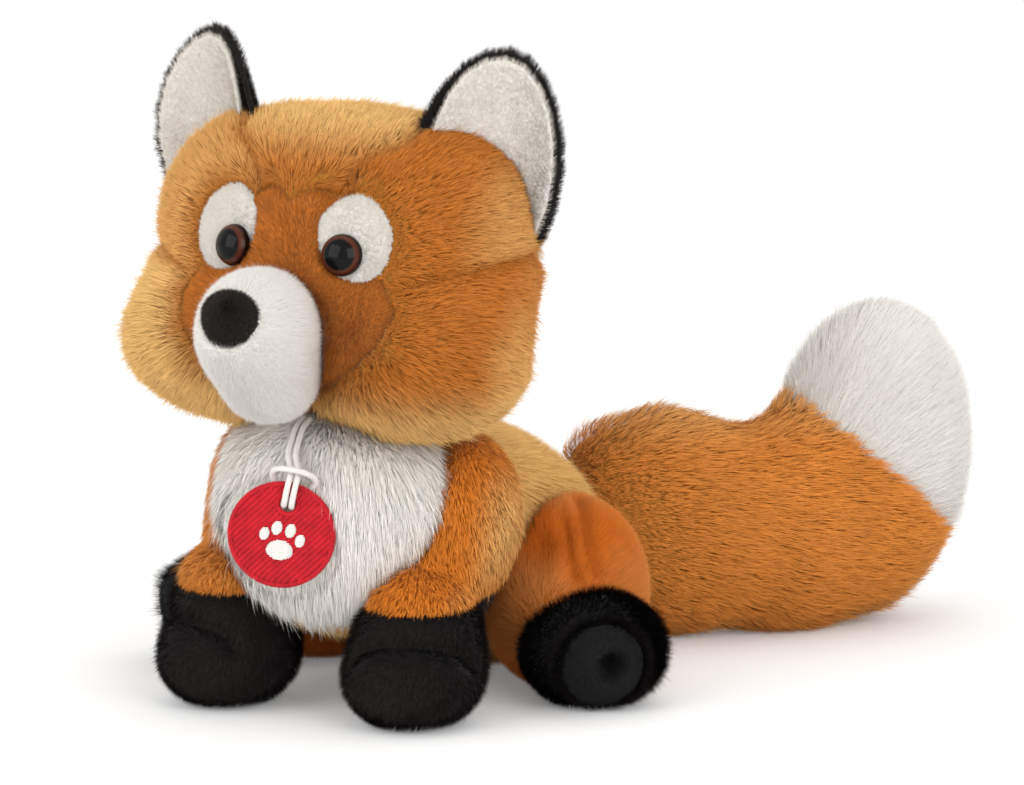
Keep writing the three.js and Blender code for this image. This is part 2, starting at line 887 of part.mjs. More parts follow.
const tailKnob = (grown) =>
  drum(
    tailKnobRadius + grown,
    tailRootRise - tailKnobHeight / 2 - grown,
    tailRootRise + tailKnobHeight / 2 + grown,
    tailRoot,
  );
const tailShell = stuffed(tail)
  .add(tailKnob(0))
  .subtract(stuffed(tail, -skinThickness, fillingSteps))
  .subtract(floorBlock);
add("tail_skin", largest(tailShell.subtract(beyondTipSeam(0))), "russet");
add("tail_tip", largest(tailShell.intersect(beyondTipSeam(seamGap))), "white");
add("tail_stuffing", stuffed(tail, -skinThickness - seamGap, fillingSteps).subtract(floorBlock), "filling");

const tailRoom = stuffed(swept(tail, tailRoot, tailTurns), tailPlay).add(tailKnob(seamGap));
add("torso_skin", largest(trunkSkin.subtract(tailRoom)), "golden");
add(
  "body_stuffing",
  largest(
    trunkSolid(-skinThickness - seamGap, fillingSteps)
      .subtract(tailRoom)
      .subtract(drum(neckOpeningRadius, neckPlugRise - seamGap, cuttingReach, neckMiddle))
      .subtract(floorBlock),
  ),
  "filling",
);

// Limbs

const trunkRoom = trunkSolid(seamGap);

for (const { side, word } of sides) {
  const limb = stuffed(frontLimb(side)).subtract(trunkRoom).subtract(floorBlock);
  const x = (side * frontLegSpacing) / 2;
  const above = block(
    [-cuttingReach, frontOfAll, pawSeamRise + seamGap],
    [cuttingReach, backOfAll, cuttingReach],
  );
  const below = block([-cuttingReach, frontOfAll, -cuttingReach], [cuttingReach, backOfAll, pawSeamRise]);
  add("front_leg_" + word, largest(limb.intersect(above)), "rust");
  add("front_paw_" + word, largest(limb.intersect(below)), "black");

  const thigh = stuffed(thighForm(side)).subtract(trunkRoom).subtract(floorBlock);
  add("thigh_" + word, largest(thigh), "rust");
  const foot = footForm(side);
  const soleAxis = new THREE.Vector3(side * Math.sin(rad(footYaw)), -Math.cos(rad(footYaw)), 0);
  const soleFrom = new THREE.Vector3((side * footSpacing) / 2, -footForward, soleRise);
  const solePrism = lathe(
    [
      [0, 0],
      [soleDiameter / 2, 0],
      [soleDiameter / 2, cuttingReach],
      [0, cuttingReach],
    ],
    roundSides,
    soleFrom,
    soleAxis,
  );
  const sole = stuffed(foot, soleThickness).subtract(stuffed(foot, seamGap)).intersect(solePrism);
  const thighRoom = stuffed(thighForm(side), seamGap);
  add("hind_foot_" + word, largest(stuffed(foot).subtract(thighRoom).subtract(floorBlock)), "black");
  add("hind_sole_" + word, largest(sole.subtract(floorBlock)), "sole");
}

// Tag and cord

// Places a point that is given across, ahead and up from the middle of the tag.
function onTag([across, ahead, up]) {
  return new THREE.Vector3(across, -ahead, up)
    .applyAxisAngle(new THREE.Vector3(0, 1, 0), rad(tagRoll))
    .applyAxisAngle(upward, rad(tagYaw))
    .add(new THREE.Vector3(tagLeft, -tagForward, tagRise));
}

function tagSolid() {
  const rim = tagDiameter / 2;
  const inner = rim - tagRimWidth;
  const face = tagThickness / 2;
  const profile = [
    [0, face],
    [inner, face],
    [rim - tagRimWidth / 2, face + tagRimRise],
    [rim, face],
    [rim, -face],
    [rim - tagRimWidth / 2, -face - tagRimRise],
    [inner, -face],
    [0, -face],
  ];
  const hole = [
    [0, tagThickness],
    [tagHoleDiameter / 2, tagThickness],
    [tagHoleDiameter / 2, -tagThickness],
    [0, -tagThickness],
  ];
  const middle = onTag([0, 0, 0]);
  const ahead = onTag([0, 1, 0]).sub(middle);
  const holeMiddle = onTag([0, 0, tagDiameter / 2 - tagHoleDrop]);
  return lathe(profile, drumSides, middle, ahead).subtract(lathe(hole, roundSides, holeMiddle, ahead));
}

// One strand of the cord, side -1 or 1 across the tag, from the neck seam to the bight.
function strand(side) {
  const fall = cordFall.map(([x, y, z], i) => {
    const turn = (rad(tagYaw) * i) / cordFall.length;
    const half = (side * strandSpacing) / 2;
    return new THREE.Vector3(x + half * Math.cos(turn), y + half * Math.sin(turn), z);
  });
  return [...fall, ...strandOnTag.map(([across, ahead, up]) => onTag([-side * across, ahead, up]))];
}

function cordSolid() {
  const route = [...strand(-1), onTag(bightOnTag), ...strand(1).reverse()];
  const section = new THREE.EllipseCurve(0, 0, cordDiameter / 2, cordDiameter / 2)
    .getPoints(cordSides)
    .slice(0, -1);
  return solidOf(
    new THREE.ExtrudeGeometry(new THREE.Shape(section), {
      steps: cordSteps,
      extrudePath: new THREE.CatmullRomCurve3(route, false, "centripetal"),
    }),
  );
}

add("tag_disc", tagSolid(), "red");
add("tag_cord", cordSolid(), "cord");

export default fox;
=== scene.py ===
"""A sitting plush fox, dressed over its fixed frame: sewn skins, brushed pile, eyes, nose, ears and a hang tag."""

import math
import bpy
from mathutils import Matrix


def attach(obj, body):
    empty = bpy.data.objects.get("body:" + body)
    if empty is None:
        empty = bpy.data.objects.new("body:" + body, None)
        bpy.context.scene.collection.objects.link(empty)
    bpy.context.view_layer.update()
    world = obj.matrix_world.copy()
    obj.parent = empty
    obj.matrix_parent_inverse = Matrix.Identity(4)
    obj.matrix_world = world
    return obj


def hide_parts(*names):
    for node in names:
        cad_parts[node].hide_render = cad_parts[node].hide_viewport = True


bl_info = {
    "name": "Plush fox",
    "version": (1, 0, 0),
    "blender": (4, 5, 0),
    "location": "3D View > Sidebar > Plush fox",
    "description": "Sews and brushes a sitting plush fox over its frame",
    "category": "Object",
}

import zlib

import bmesh
import bpy
import numpy as np
from bpy.props import FloatProperty, FloatVectorProperty, PointerProperty
from mathutils import Matrix, Vector
from mathutils.bvhtree import BVHTree
from mathutils.kdtree import KDTree

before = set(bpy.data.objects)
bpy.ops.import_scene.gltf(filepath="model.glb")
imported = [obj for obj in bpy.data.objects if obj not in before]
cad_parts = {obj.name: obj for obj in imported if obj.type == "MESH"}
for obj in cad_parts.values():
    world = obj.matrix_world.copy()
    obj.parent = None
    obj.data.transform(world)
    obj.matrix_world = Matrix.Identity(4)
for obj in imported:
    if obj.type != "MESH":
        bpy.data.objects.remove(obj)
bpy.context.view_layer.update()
MM = 0.001
SIDES = (("left", 1), ("right", -1))
FLOOR_WAY = 0.0015  # no pile grows on what lies nearer to the floor


def linear(colour):
    """The linear value of a colour that is written as six hex digits."""
    parts = [int(colour[i : i + 2], 16) / 255 for i in (0, 2, 4)]
    return [p / 12.92 if p <= 0.04045 else ((p + 0.055) / 1.055) ** 2.4 for p in parts]


def colour(label, description, digits):
    return FloatVectorProperty(
        name=label, description=description, default=linear(digits), subtype="COLOR", size=3, min=0, max=1
    )


def length(label, description, millimetres):
    return FloatProperty(name=label, description=description, default=millimetres * MM, unit="LENGTH", min=0)


class FoxPile(bpy.types.PropertyGroup):
    """Lengths of the pile on each cloth."""

    density: FloatProperty(name="Density", description="Strands on a square millimetre of long pile", default=5.5)
    width: length("Strand width", "Width of a strand where it is widest", 0.195)
    crown: length("Crown", "Pile of the crown and the nape", 6.5)
    cheek: length("Cheeks", "Pile of the cheeks", 7.5)
    temple: length("Temples", "Pile of the temples", 6)
    mask: length("Mask", "Short pile round the eyes and up the nose", 3)
    patch: length("Eye patches", "White pile round the eyes", 2.2)
    muzzle: length("Muzzle", "White pile of the muzzle", 2.5)
    bib: length("Bib", "White pile of the chest", 10)
    torso: length("Body", "Pile of the back and the sides", 7)
    leg: length("Front legs", "Pile of the front legs", 5)
    paw: length("Paws", "Black pile of the paws and the feet", 3.6)
    thigh: length("Thighs", "Pile of the thighs", 4.2)
    tail: length("Tail", "Pile of the tail", 8.5)
    tip: length("Tail tip", "White pile of the end of the tail", 9)
    ear: length("Ears", "Pile of the backs and the linings of the ears", 2.8)


class FoxColours(bpy.types.PropertyGroup):
    """Colours of the cloths, the eyes, the nose and the tag."""

    # The rust roots and the gold tips are partly the pile's own tones, partly painted shade deep in the pile and a
    # painted glow at its tips.
    rust: colour("Deep rust", "Roots of the orange pile", "94480F")
    orange: colour("Orange", "Middle of the orange pile", "CF8A36")
    russet: colour("Russet", "Middle of the darker orange pile", "BE681C")
    gold: colour("Gold", "Tips of the orange pile", "EFC27A")
    mask: colour("Mask", "Short orange pile of the face", "AE6426")
    thigh: colour("Thigh", "Short rust pile of the thighs", "C8661E")
    white: colour("White", "White pile", "F4F0EA")
    black: colour("Black", "Black pile", "1A1616")
    sole: colour("Sole", "Smooth cloth of the soles", "1B1A1B")
    nose: colour("Nose", "Flock of the nose", "211D1B")
    iris: colour("Iris", "Brown ring of the eyes", "4E261A")
    tag: colour("Tag", "Red thread of the tag", "C41A2A")


# Small helpers


def pick(*objects):
    """Selects these objects alone, the first of them active."""
    bpy.ops.object.select_all(action="DESELECT")
    for o in objects:
        o.hide_set(False)
        o.select_set(True)
    bpy.context.view_layer.objects.active = objects[0]


def fresh(name):
    """The object that the last operator added, under its name."""
    made = bpy.context.active_object
    made.name = made.data.name = name
    return made


def apply_modifier(obj, kind, **values):
    pick(obj)
    made = obj.modifiers.new(kind.title(), kind)
    for key, value in values.items():
        setattr(made, key, value)
    bpy.ops.object.modifier_apply(modifier=made.name)


def settle(obj):
    """Puts the object's place, turn and size into its mesh."""
    pick(obj)
    bpy.ops.object.transform_apply(location=True, rotation=True, scale=True)


def rows_of(items, key, kind=float):
    """The three values that each of a mesh's items holds under a key."""
    found = np.empty(len(items) * 3, kind)
    items.foreach_get(key, found)
    return found.reshape(-1, 3)


def points_of(mesh):
    return rows_of(mesh.vertices, "co")


def normals_of(mesh):
    return rows_of(mesh.vertices, "normal")


def middles_of(mesh):
    return rows_of(mesh.polygons, "center")


def triangles_of(mesh):
    mesh.calc_loop_triangles()
    return rows_of(mesh.loop_triangles, "vertices", np.int32)


def move_points(mesh, moved):
    mesh.vertices.foreach_set("co", moved.ravel())
    mesh.update()


def shade_smooth(mesh):
    mesh.polygons.foreach_set("use_smooth", np.ones(len(mesh.polygons), bool))
    mesh.update()


def object_of(bm, name):
    """The object of a finished bmesh, smooth and with its faces outward."""
    bmesh.ops.recalc_face_normals(bm, faces=bm.faces)
    mesh = bpy.data.meshes.new(name)
    bm.to_mesh(mesh)
    bm.free()
    shade_smooth(mesh)
    made = bpy.data.objects.new(name, mesh)
    bpy.context.scene.collection.objects.link(made)
    return made


def toned(value, gain):
    """A colour made darker or lighter."""
    return [v * gain for v in value]


def above_floor(form, height=FLOOR_WAY):
    """Which triangles of a form lie above the floor."""
    return middles_of(form.data)[:, 2] > height


def unit(vectors):
    return vectors / np.maximum(np.linalg.norm(vectors, axis=-1, keepdims=True), 1e-12)


def tree_of(*names):
    """A search tree of these CAD nodes."""
    points, faces = [], []
    for name in names:
        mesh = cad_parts[name].data
        base = len(points)
        points += [v.co.copy() for v in mesh.vertices]
        faces += [[base + i for i in p.vertices] for p in mesh.polygons]
    return BVHTree.FromPolygons(points, faces)


def value_noise(points, size, seed):
    """Smooth noise from -1 to 1 whose lumps have the given size."""
    at = points / size + seed * 17.31
    cell = np.floor(at).astype(np.int64)
    share = at - cell
    share = share * share * (3 - 2 * share)
    total = np.zeros(len(points))
    for corner in np.ndindex(2, 2, 2):
        c = cell + corner
        mixed = (c[:, 0] * 73856093) ^ (c[:, 1] * 19349663) ^ (c[:, 2] * 83492791) ^ (seed * 2654435761)
        mixed = (mixed & 0x7FFFFFFF) * 1103515245 + 12345
        mixed = ((mixed >> 8) & 0xFFFF) / 32767.5 - 1
        total += mixed * np.prod(np.where(corner, share, 1 - share), axis=1)
    return total


# Materials


def node_group(name, inputs, outputs):
    """An empty shader group with its sockets, and its two end nodes."""
    group = bpy.data.node_groups.new(name, "ShaderNodeTree")
    for label, kind, value in inputs:
        socket = group.interface.new_socket(label, in_out="INPUT", socket_type="NodeSocket" + kind)
        socket.default_value = value
    for label, kind in outputs:
        group.interface.new_socket(label, in_out="OUTPUT", socket_type="NodeSocket" + kind)
    return group, group.nodes.new("NodeGroupInput"), group.nodes.new("NodeGroupOutput")


def feed(tree, socket, value):
    """Links an input to another node's socket, or sets its plain value."""
    if isinstance(value, bpy.types.NodeSocket):
        tree.links.new(value, socket)
    else:
        socket.default_value = value


def chain(tree, kind, settings=(), **inputs):
    """Adds a node, sets its settings, and links or sets its inputs by name or number."""
    node = tree.nodes.new("ShaderNode" + kind)
    for key, value in dict(settings).items():
        setattr(node, key, value)
    for key, value in inputs.items():
        feed(tree, node.inputs[int(key[1:]) if key[1:].isdigit() else key.replace("_", " ")], value)
    return node


def mix_colours(tree, share, first, second, blend="MIX"):
    node = tree.nodes.new("ShaderNodeMix")
    node.data_type, node.blend_type = "RGBA", blend
    for number, value in ((0, share), (6, first), (7, second)):
        feed(tree, node.inputs[number], value)
    return node.outputs[2]


def pile_shading():
    """Group: the colour of a strand from its root to its tip, with lighter and darker strands. The dark root is partly
    the pile's own deeper tone and partly painted shade deep in the pile; the light tip is partly its own tone and
    partly a painted glow.
    """
    name = "Pile shading"
    if name in bpy.data.node_groups:
        return bpy.data.node_groups[name]
    grey = (0.5, 0.5, 0.5, 1)
    group, start, end = node_group(
        name,
        [("Along", "Float", 0), ("Strand", "Float", 0.5), ("Pale", "Float", 0), ("Root", "Color", grey),
         ("Body", "Color", grey), ("Tip", "Color", grey), ("Light", "Color", grey), ("Variation", "Float", 0.3)],
        [("Colour", "Color")],
    )
    lower = chain(group, "MapRange", _0=start.outputs["Along"], _1=0.0, _2=0.55, _3=0.0, _4=1.0)
    upper = chain(group, "MapRange", _0=start.outputs["Along"], _1=0.45, _2=1.0, _3=0.0, _4=1.0)
    # Pale draws the body and the tip towards the Light colour: painted sheen and painted light wherever the pile is
    # set paler.
    most = chain(group, "Math", {"operation": "MULTIPLY"}, _0=start.outputs["Pale"], _1=0.85)
    middle = mix_colours(group, most.outputs[0], start.outputs["Body"], start.outputs["Light"])
    body = mix_colours(group, lower.outputs[0], start.outputs["Root"], middle)
    tip = mix_colours(group, start.outputs["Pale"], start.outputs["Tip"], start.outputs["Light"])
    tipped = mix_colours(group, upper.outputs[0], body, tip)
    shift = chain(group, "Math", {"operation": "SUBTRACT"}, _0=start.outputs["Strand"], _1=0.5)
    scaled = chain(group, "Math", {"operation": "MULTIPLY_ADD"}, _0=shift.outputs[0],
                   _1=start.outputs["Variation"], _2=1.0)
    varied = chain(group, "HueSaturation", Value=scaled.outputs[0], Color=tipped)
    group.links.new(varied.outputs["Color"], end.inputs["Colour"])
    return group


def cloth_weave():
    """Group: the height and the shade of a fine knit or weave on Object coordinates."""
    name = "Fine weave"
    if name in bpy.data.node_groups:
        return bpy.data.node_groups[name]
    group, start, end = node_group(
        name, [("Scale", "Float", 900.0), ("Colour", "Color", (0.5, 0.5, 0.5, 1))],
        [("Colour", "Color"), ("Height", "Float")],
    )
    place = chain(group, "TexCoord")
    cells = chain(group, "TexVoronoi", Vector=place.outputs["Object"], Scale=start.outputs["Scale"])
    clouds = chain(group, "TexNoise", Vector=place.outputs["Object"], Scale=120.0, Detail=3.0)
    dark = mix_colours(group, 1.0, start.outputs["Colour"], (0.62, 0.62, 0.62, 1), "MULTIPLY")
    shade = mix_colours(group, cells.outputs["Distance"], start.outputs["Colour"], dark)
    softer = chain(group, "MapRange", _0=clouds.outputs["Fac"], _1=0.3, _2=0.7, _3=0.9, _4=1.1)
    soft = chain(group, "HueSaturation", Value=softer.outputs[0], Color=shade)
    group.links.new(soft.outputs["Color"], end.inputs["Colour"])
    group.links.new(cells.outputs["Distance"], end.inputs["Height"])
    return group


def new_material(name, roughness, specular, **values):
    """A material with its Principled shader set by plain values."""
    made = bpy.data.materials.new(name)
    made.use_nodes = True
    shader = made.node_tree.nodes["Principled BSDF"]
    shader.inputs["Roughness"].default_value = roughness
    shader.inputs["Specular IOR Level"].default_value = specular
    for key, value in values.items():
        shader.inputs[key.replace("_", " ")].default_value = value
    return made, made.node_tree, shader


def flecked_material(name, roughness, specular, dark, pale, scale, sheen=0, attribute=None):
    """A material in two finely mixed shades, on Object coordinates or on a stored attribute."""
    made, tree, shader = new_material(name, roughness, specular, Sheen_Weight=sheen)
    if attribute:
        place = chain(tree, "Attribute", {"attribute_name": attribute}).outputs["Vector"]
    else:
        place = chain(tree, "TexCoord").outputs["Object"]
    fine = chain(tree, "TexNoise", Vector=place, Scale=scale, Detail=2.0)
    tree.links.new(mix_colours(tree, fine.outputs["Fac"], dark, pale), shader.inputs["Base Color"])
    return made


def group_node(tree, group):
    node = tree.nodes.new("ShaderNodeGroup")
    node.node_tree = group
    return node


def rgba(value, gain=1.0):
    return (*(min(1, v * gain) for v in value), 1)


def pile_material(name, root, body, tip, variation=0.35, sheen=0.6, light=None):
    if name in bpy.data.materials:
        return bpy.data.materials[name]
    made, tree, shader = new_material(name, 0.7, 0.08, Sheen_Weight=sheen, Sheen_Roughness=0.35)
    shader.inputs["Sheen Tint"].default_value = rgba(light or tip)
    node = group_node(tree, pile_shading())
    for label in ("Along", "Strand", "Pale"):
        value = chain(tree, "Attribute", {"attribute_name": label.lower()})
        tree.links.new(value.outputs["Fac"], node.inputs[label])
    for label, value in (("Root", root), ("Body", body), ("Tip", tip), ("Light", light or tip)):
        node.inputs[label].default_value = rgba(value)
    node.inputs["Variation"].default_value = variation
    tree.links.new(node.outputs["Colour"], shader.inputs["Base Color"])
    return made


def cloth_material(name, value, roughness=0.85, scale=900.0, depth=0.25, sheen=0.2):
    if name in bpy.data.materials:
        return bpy.data.materials[name]
    made, tree, shader = new_material(name, roughness, 0.12, Sheen_Weight=sheen)
    node = group_node(tree, cloth_weave())
    node.inputs["Scale"].default_value = scale
    node.inputs["Colour"].default_value = rgba(value)
    bump = chain(tree, "Bump", Strength=depth, Distance=0.0003, Height=node.outputs["Height"])
    tree.links.new(node.outputs["Colour"], shader.inputs["Base Color"])
    tree.links.new(bump.outputs["Normal"], shader.inputs["Normal"])
    return made


# Sewn forms

OUTSIDE = 0.4  # how far out the rays start that find a form's skin
SLIT_DEPTH = 0.0006  # how much deeper than its neighbours a point may lie before it counts as a slit
LOWEST = 0.0004  # where a form rests on the floor
PILE_REST = 0.3 * MM  # where pile rests on the floor


def evened(mesh, values, rounds, own=1):
    """Values of the vertices, each drawn to the mean of its neighbours' values."""
    edges = np.empty(len(mesh.edges) * 2, np.int32)
    mesh.edges.foreach_get("vertices", edges)
    edges = edges.reshape(-1, 2)
    ends, others = edges.ravel(order="F"), edges[:, ::-1].ravel(order="F")
    number = len(values)
    count = np.bincount(ends, minlength=number) + own
    for _ in range(rounds):
        values = (np.bincount(ends, weights=values[others], minlength=number) + own * values) / count
    return values


def sewn_form(name, nodes, heart, spread=(1, 1, 1), fineness=6, rounding=25):
    """Draws a fine ball in onto the CAD nodes of one stuffed form and smooths its facets away."""
    bpy.ops.object.select_all(action="DESELECT")
    bpy.ops.mesh.primitive_ico_sphere_add(subdivisions=fineness, radius=1, location=(0, 0, 0))
    form = fresh(name)
    tree, middle = tree_of(*nodes), Vector(heart)
    directions = unit(unit(points_of(form.data)) * np.array(spread))
    radii = np.empty(len(directions))
    for i, d in enumerate(directions):
        hit = tree.ray_cast(middle + Vector(d) * OUTSIDE, Vector(-d), OUTSIDE)
        radii[i] = (hit[0] - middle).length if hit[0] else np.nan
    radii = np.where(np.isnan(radii), np.nanmean(radii), radii)
    for _ in range(4):  # closes the slits between the panels
        radii = np.maximum(radii, evened(form.data, radii, 1, own=0) - SLIT_DEPTH)
    move_points(form.data, np.array(heart) + directions * radii[:, None])
    apply_modifier(form, "SMOOTH", factor=0.5, iterations=rounding)
    smoothed = points_of(form.data) - np.array(heart)
    lost = np.mean(radii - np.linalg.norm(smoothed, axis=1))
    smoothed += unit(smoothed) * lost
    smoothed += np.array(heart)
    smoothed[:, 2] = np.maximum(smoothed[:, 2], LOWEST)
    move_points(form.data, smoothed)
    shade_smooth(form.data)
    return form


def share_out(form, panels):
    """For each triangle of the form, its way to each panel's CAD node."""
    trees = [tree_of(p) for p in panels]
    return np.array([[tree.find_nearest(p.center)[3] for tree in trees] for p in form.data.polygons])


def sink_skin(form, owner, depths):
    """Sets the skin in under its pile, deeper where the pile is longer."""
    mesh, corners = form.data, triangles_of(form.data)
    depth, count = np.zeros(len(mesh.vertices)), np.zeros(len(mesh.vertices))
    for k in range(3):
        depth += np.bincount(corners[:, k], weights=np.array(depths)[owner], minlength=len(depth))
        count += np.bincount(corners[:, k], minlength=len(depth))
    depth = evened(mesh, depth / count, 12)
    move_points(mesh, points_of(mesh) - normals_of(mesh) * depth[:, None])


def press(form, at, by, reach):
    """Presses or pulls the form at a point, as a hand would."""
    points = points_of(form.data)
    share = np.exp(-((np.linalg.norm(points - np.array(at) * MM, axis=1) / (reach * MM)) ** 2))
    move_points(form.data, points + share[:, None] * np.array(by) * MM)


def way_to_line(points, line):
    """Each point's way to a line through the given points."""
    line = np.array(line) * MM
    away = np.full(len(points), np.inf)
    for a, b in zip(line, line[1:]):
        t = np.clip(((points - a) @ (b - a)) / ((b - a) @ (b - a)), 0, 1)[:, None]
        away = np.minimum(away, np.linalg.norm(points - (a + t * (b - a)), axis=1))
    return away


def draw_in_folds(form, lines, depth, width):
    """Draws the form in along folds that don't part two panels, and returns each vertex's way to the nearest."""
    points = points_of(form.data)
    away = np.min([way_to_line(points, line) for line in lines], axis=0)
    share = np.exp(-((away / (width * MM)) ** 2))
    move_points(form.data, points - normals_of(form.data) * (depth * MM * share)[:, None])
    return away


def draw_in_seams(form, owner, depth=1.6 * MM, width=2.6 * MM):
    """Draws the form in along the seams between its panels, and returns each vertex's way to the nearest seam."""
    mesh = form.data
    corners, points = triangles_of(mesh), points_of(mesh)
    low, high = np.full(len(points), 99), np.full(len(points), -1)
    for k in range(3):
        np.minimum.at(low, corners[:, k], owner)
        np.maximum.at(high, corners[:, k], owner)
    seam = np.flatnonzero(low != high)
    tree = KDTree(len(seam))
    for i in seam:
        tree.insert(points[i], int(i))
    tree.balance()
    away = np.fromiter((tree.find(p)[2] for p in points), float, len(points))
    move_points(mesh, points - normals_of(mesh) * (depth * np.exp(-((away / width) ** 2)))[:, None])
    return away


def cut_panel(form, name, keep, material, body, slot, replaced, thickness=2.2 * MM):
    """One panel of a form as its own piece of cloth, with a wall."""
    panel = form.copy()
    panel.data = form.data.copy()
    bpy.context.scene.collection.objects.link(panel)
    panel.name = panel.data.name = name
    bm = bmesh.new()
    bm.from_mesh(panel.data)
    bm.faces.ensure_lookup_table()
    bmesh.ops.delete(bm, geom=[bm.faces[i] for i in np.flatnonzero(~keep)], context="FACES")
    bm.to_mesh(panel.data)
    bm.free()
    apply_modifier(panel, "SOLIDIFY", thickness=thickness, offset=-1, use_even_offset=True, thickness_clamp=1)
    return finish_piece(panel, material, body, slot, replaced)


def finish_piece(piece, material, body, slot, replaced=()):
    piece.data.materials.clear()
    piece.data.materials.append(material)
    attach(piece, body)
    if replaced:
        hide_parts(*replaced)
    return piece


def bare(form, own_nodes, reach):
    """Which triangles of a form aren't covered by another part."""
    others = [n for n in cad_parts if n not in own_nodes and n not in ("tag_disc", "tag_cord")]
    tree = tree_of(*others)
    shown = np.ones(len(form.data.polygons), bool)
    for i, polygon in enumerate(form.data.polygons):
        hit = tree.ray_cast(polygon.center - polygon.normal * MM, polygon.normal, reach)
        shown[i] = hit[0] is None
    return shown


# Pile


def combed(source, drift, pull=1.0):
    """A way of brushing: away from one point, with a drift."""
    source, drift = np.array(source), np.array(drift)
    return lambda points: unit(points - source) * pull + drift


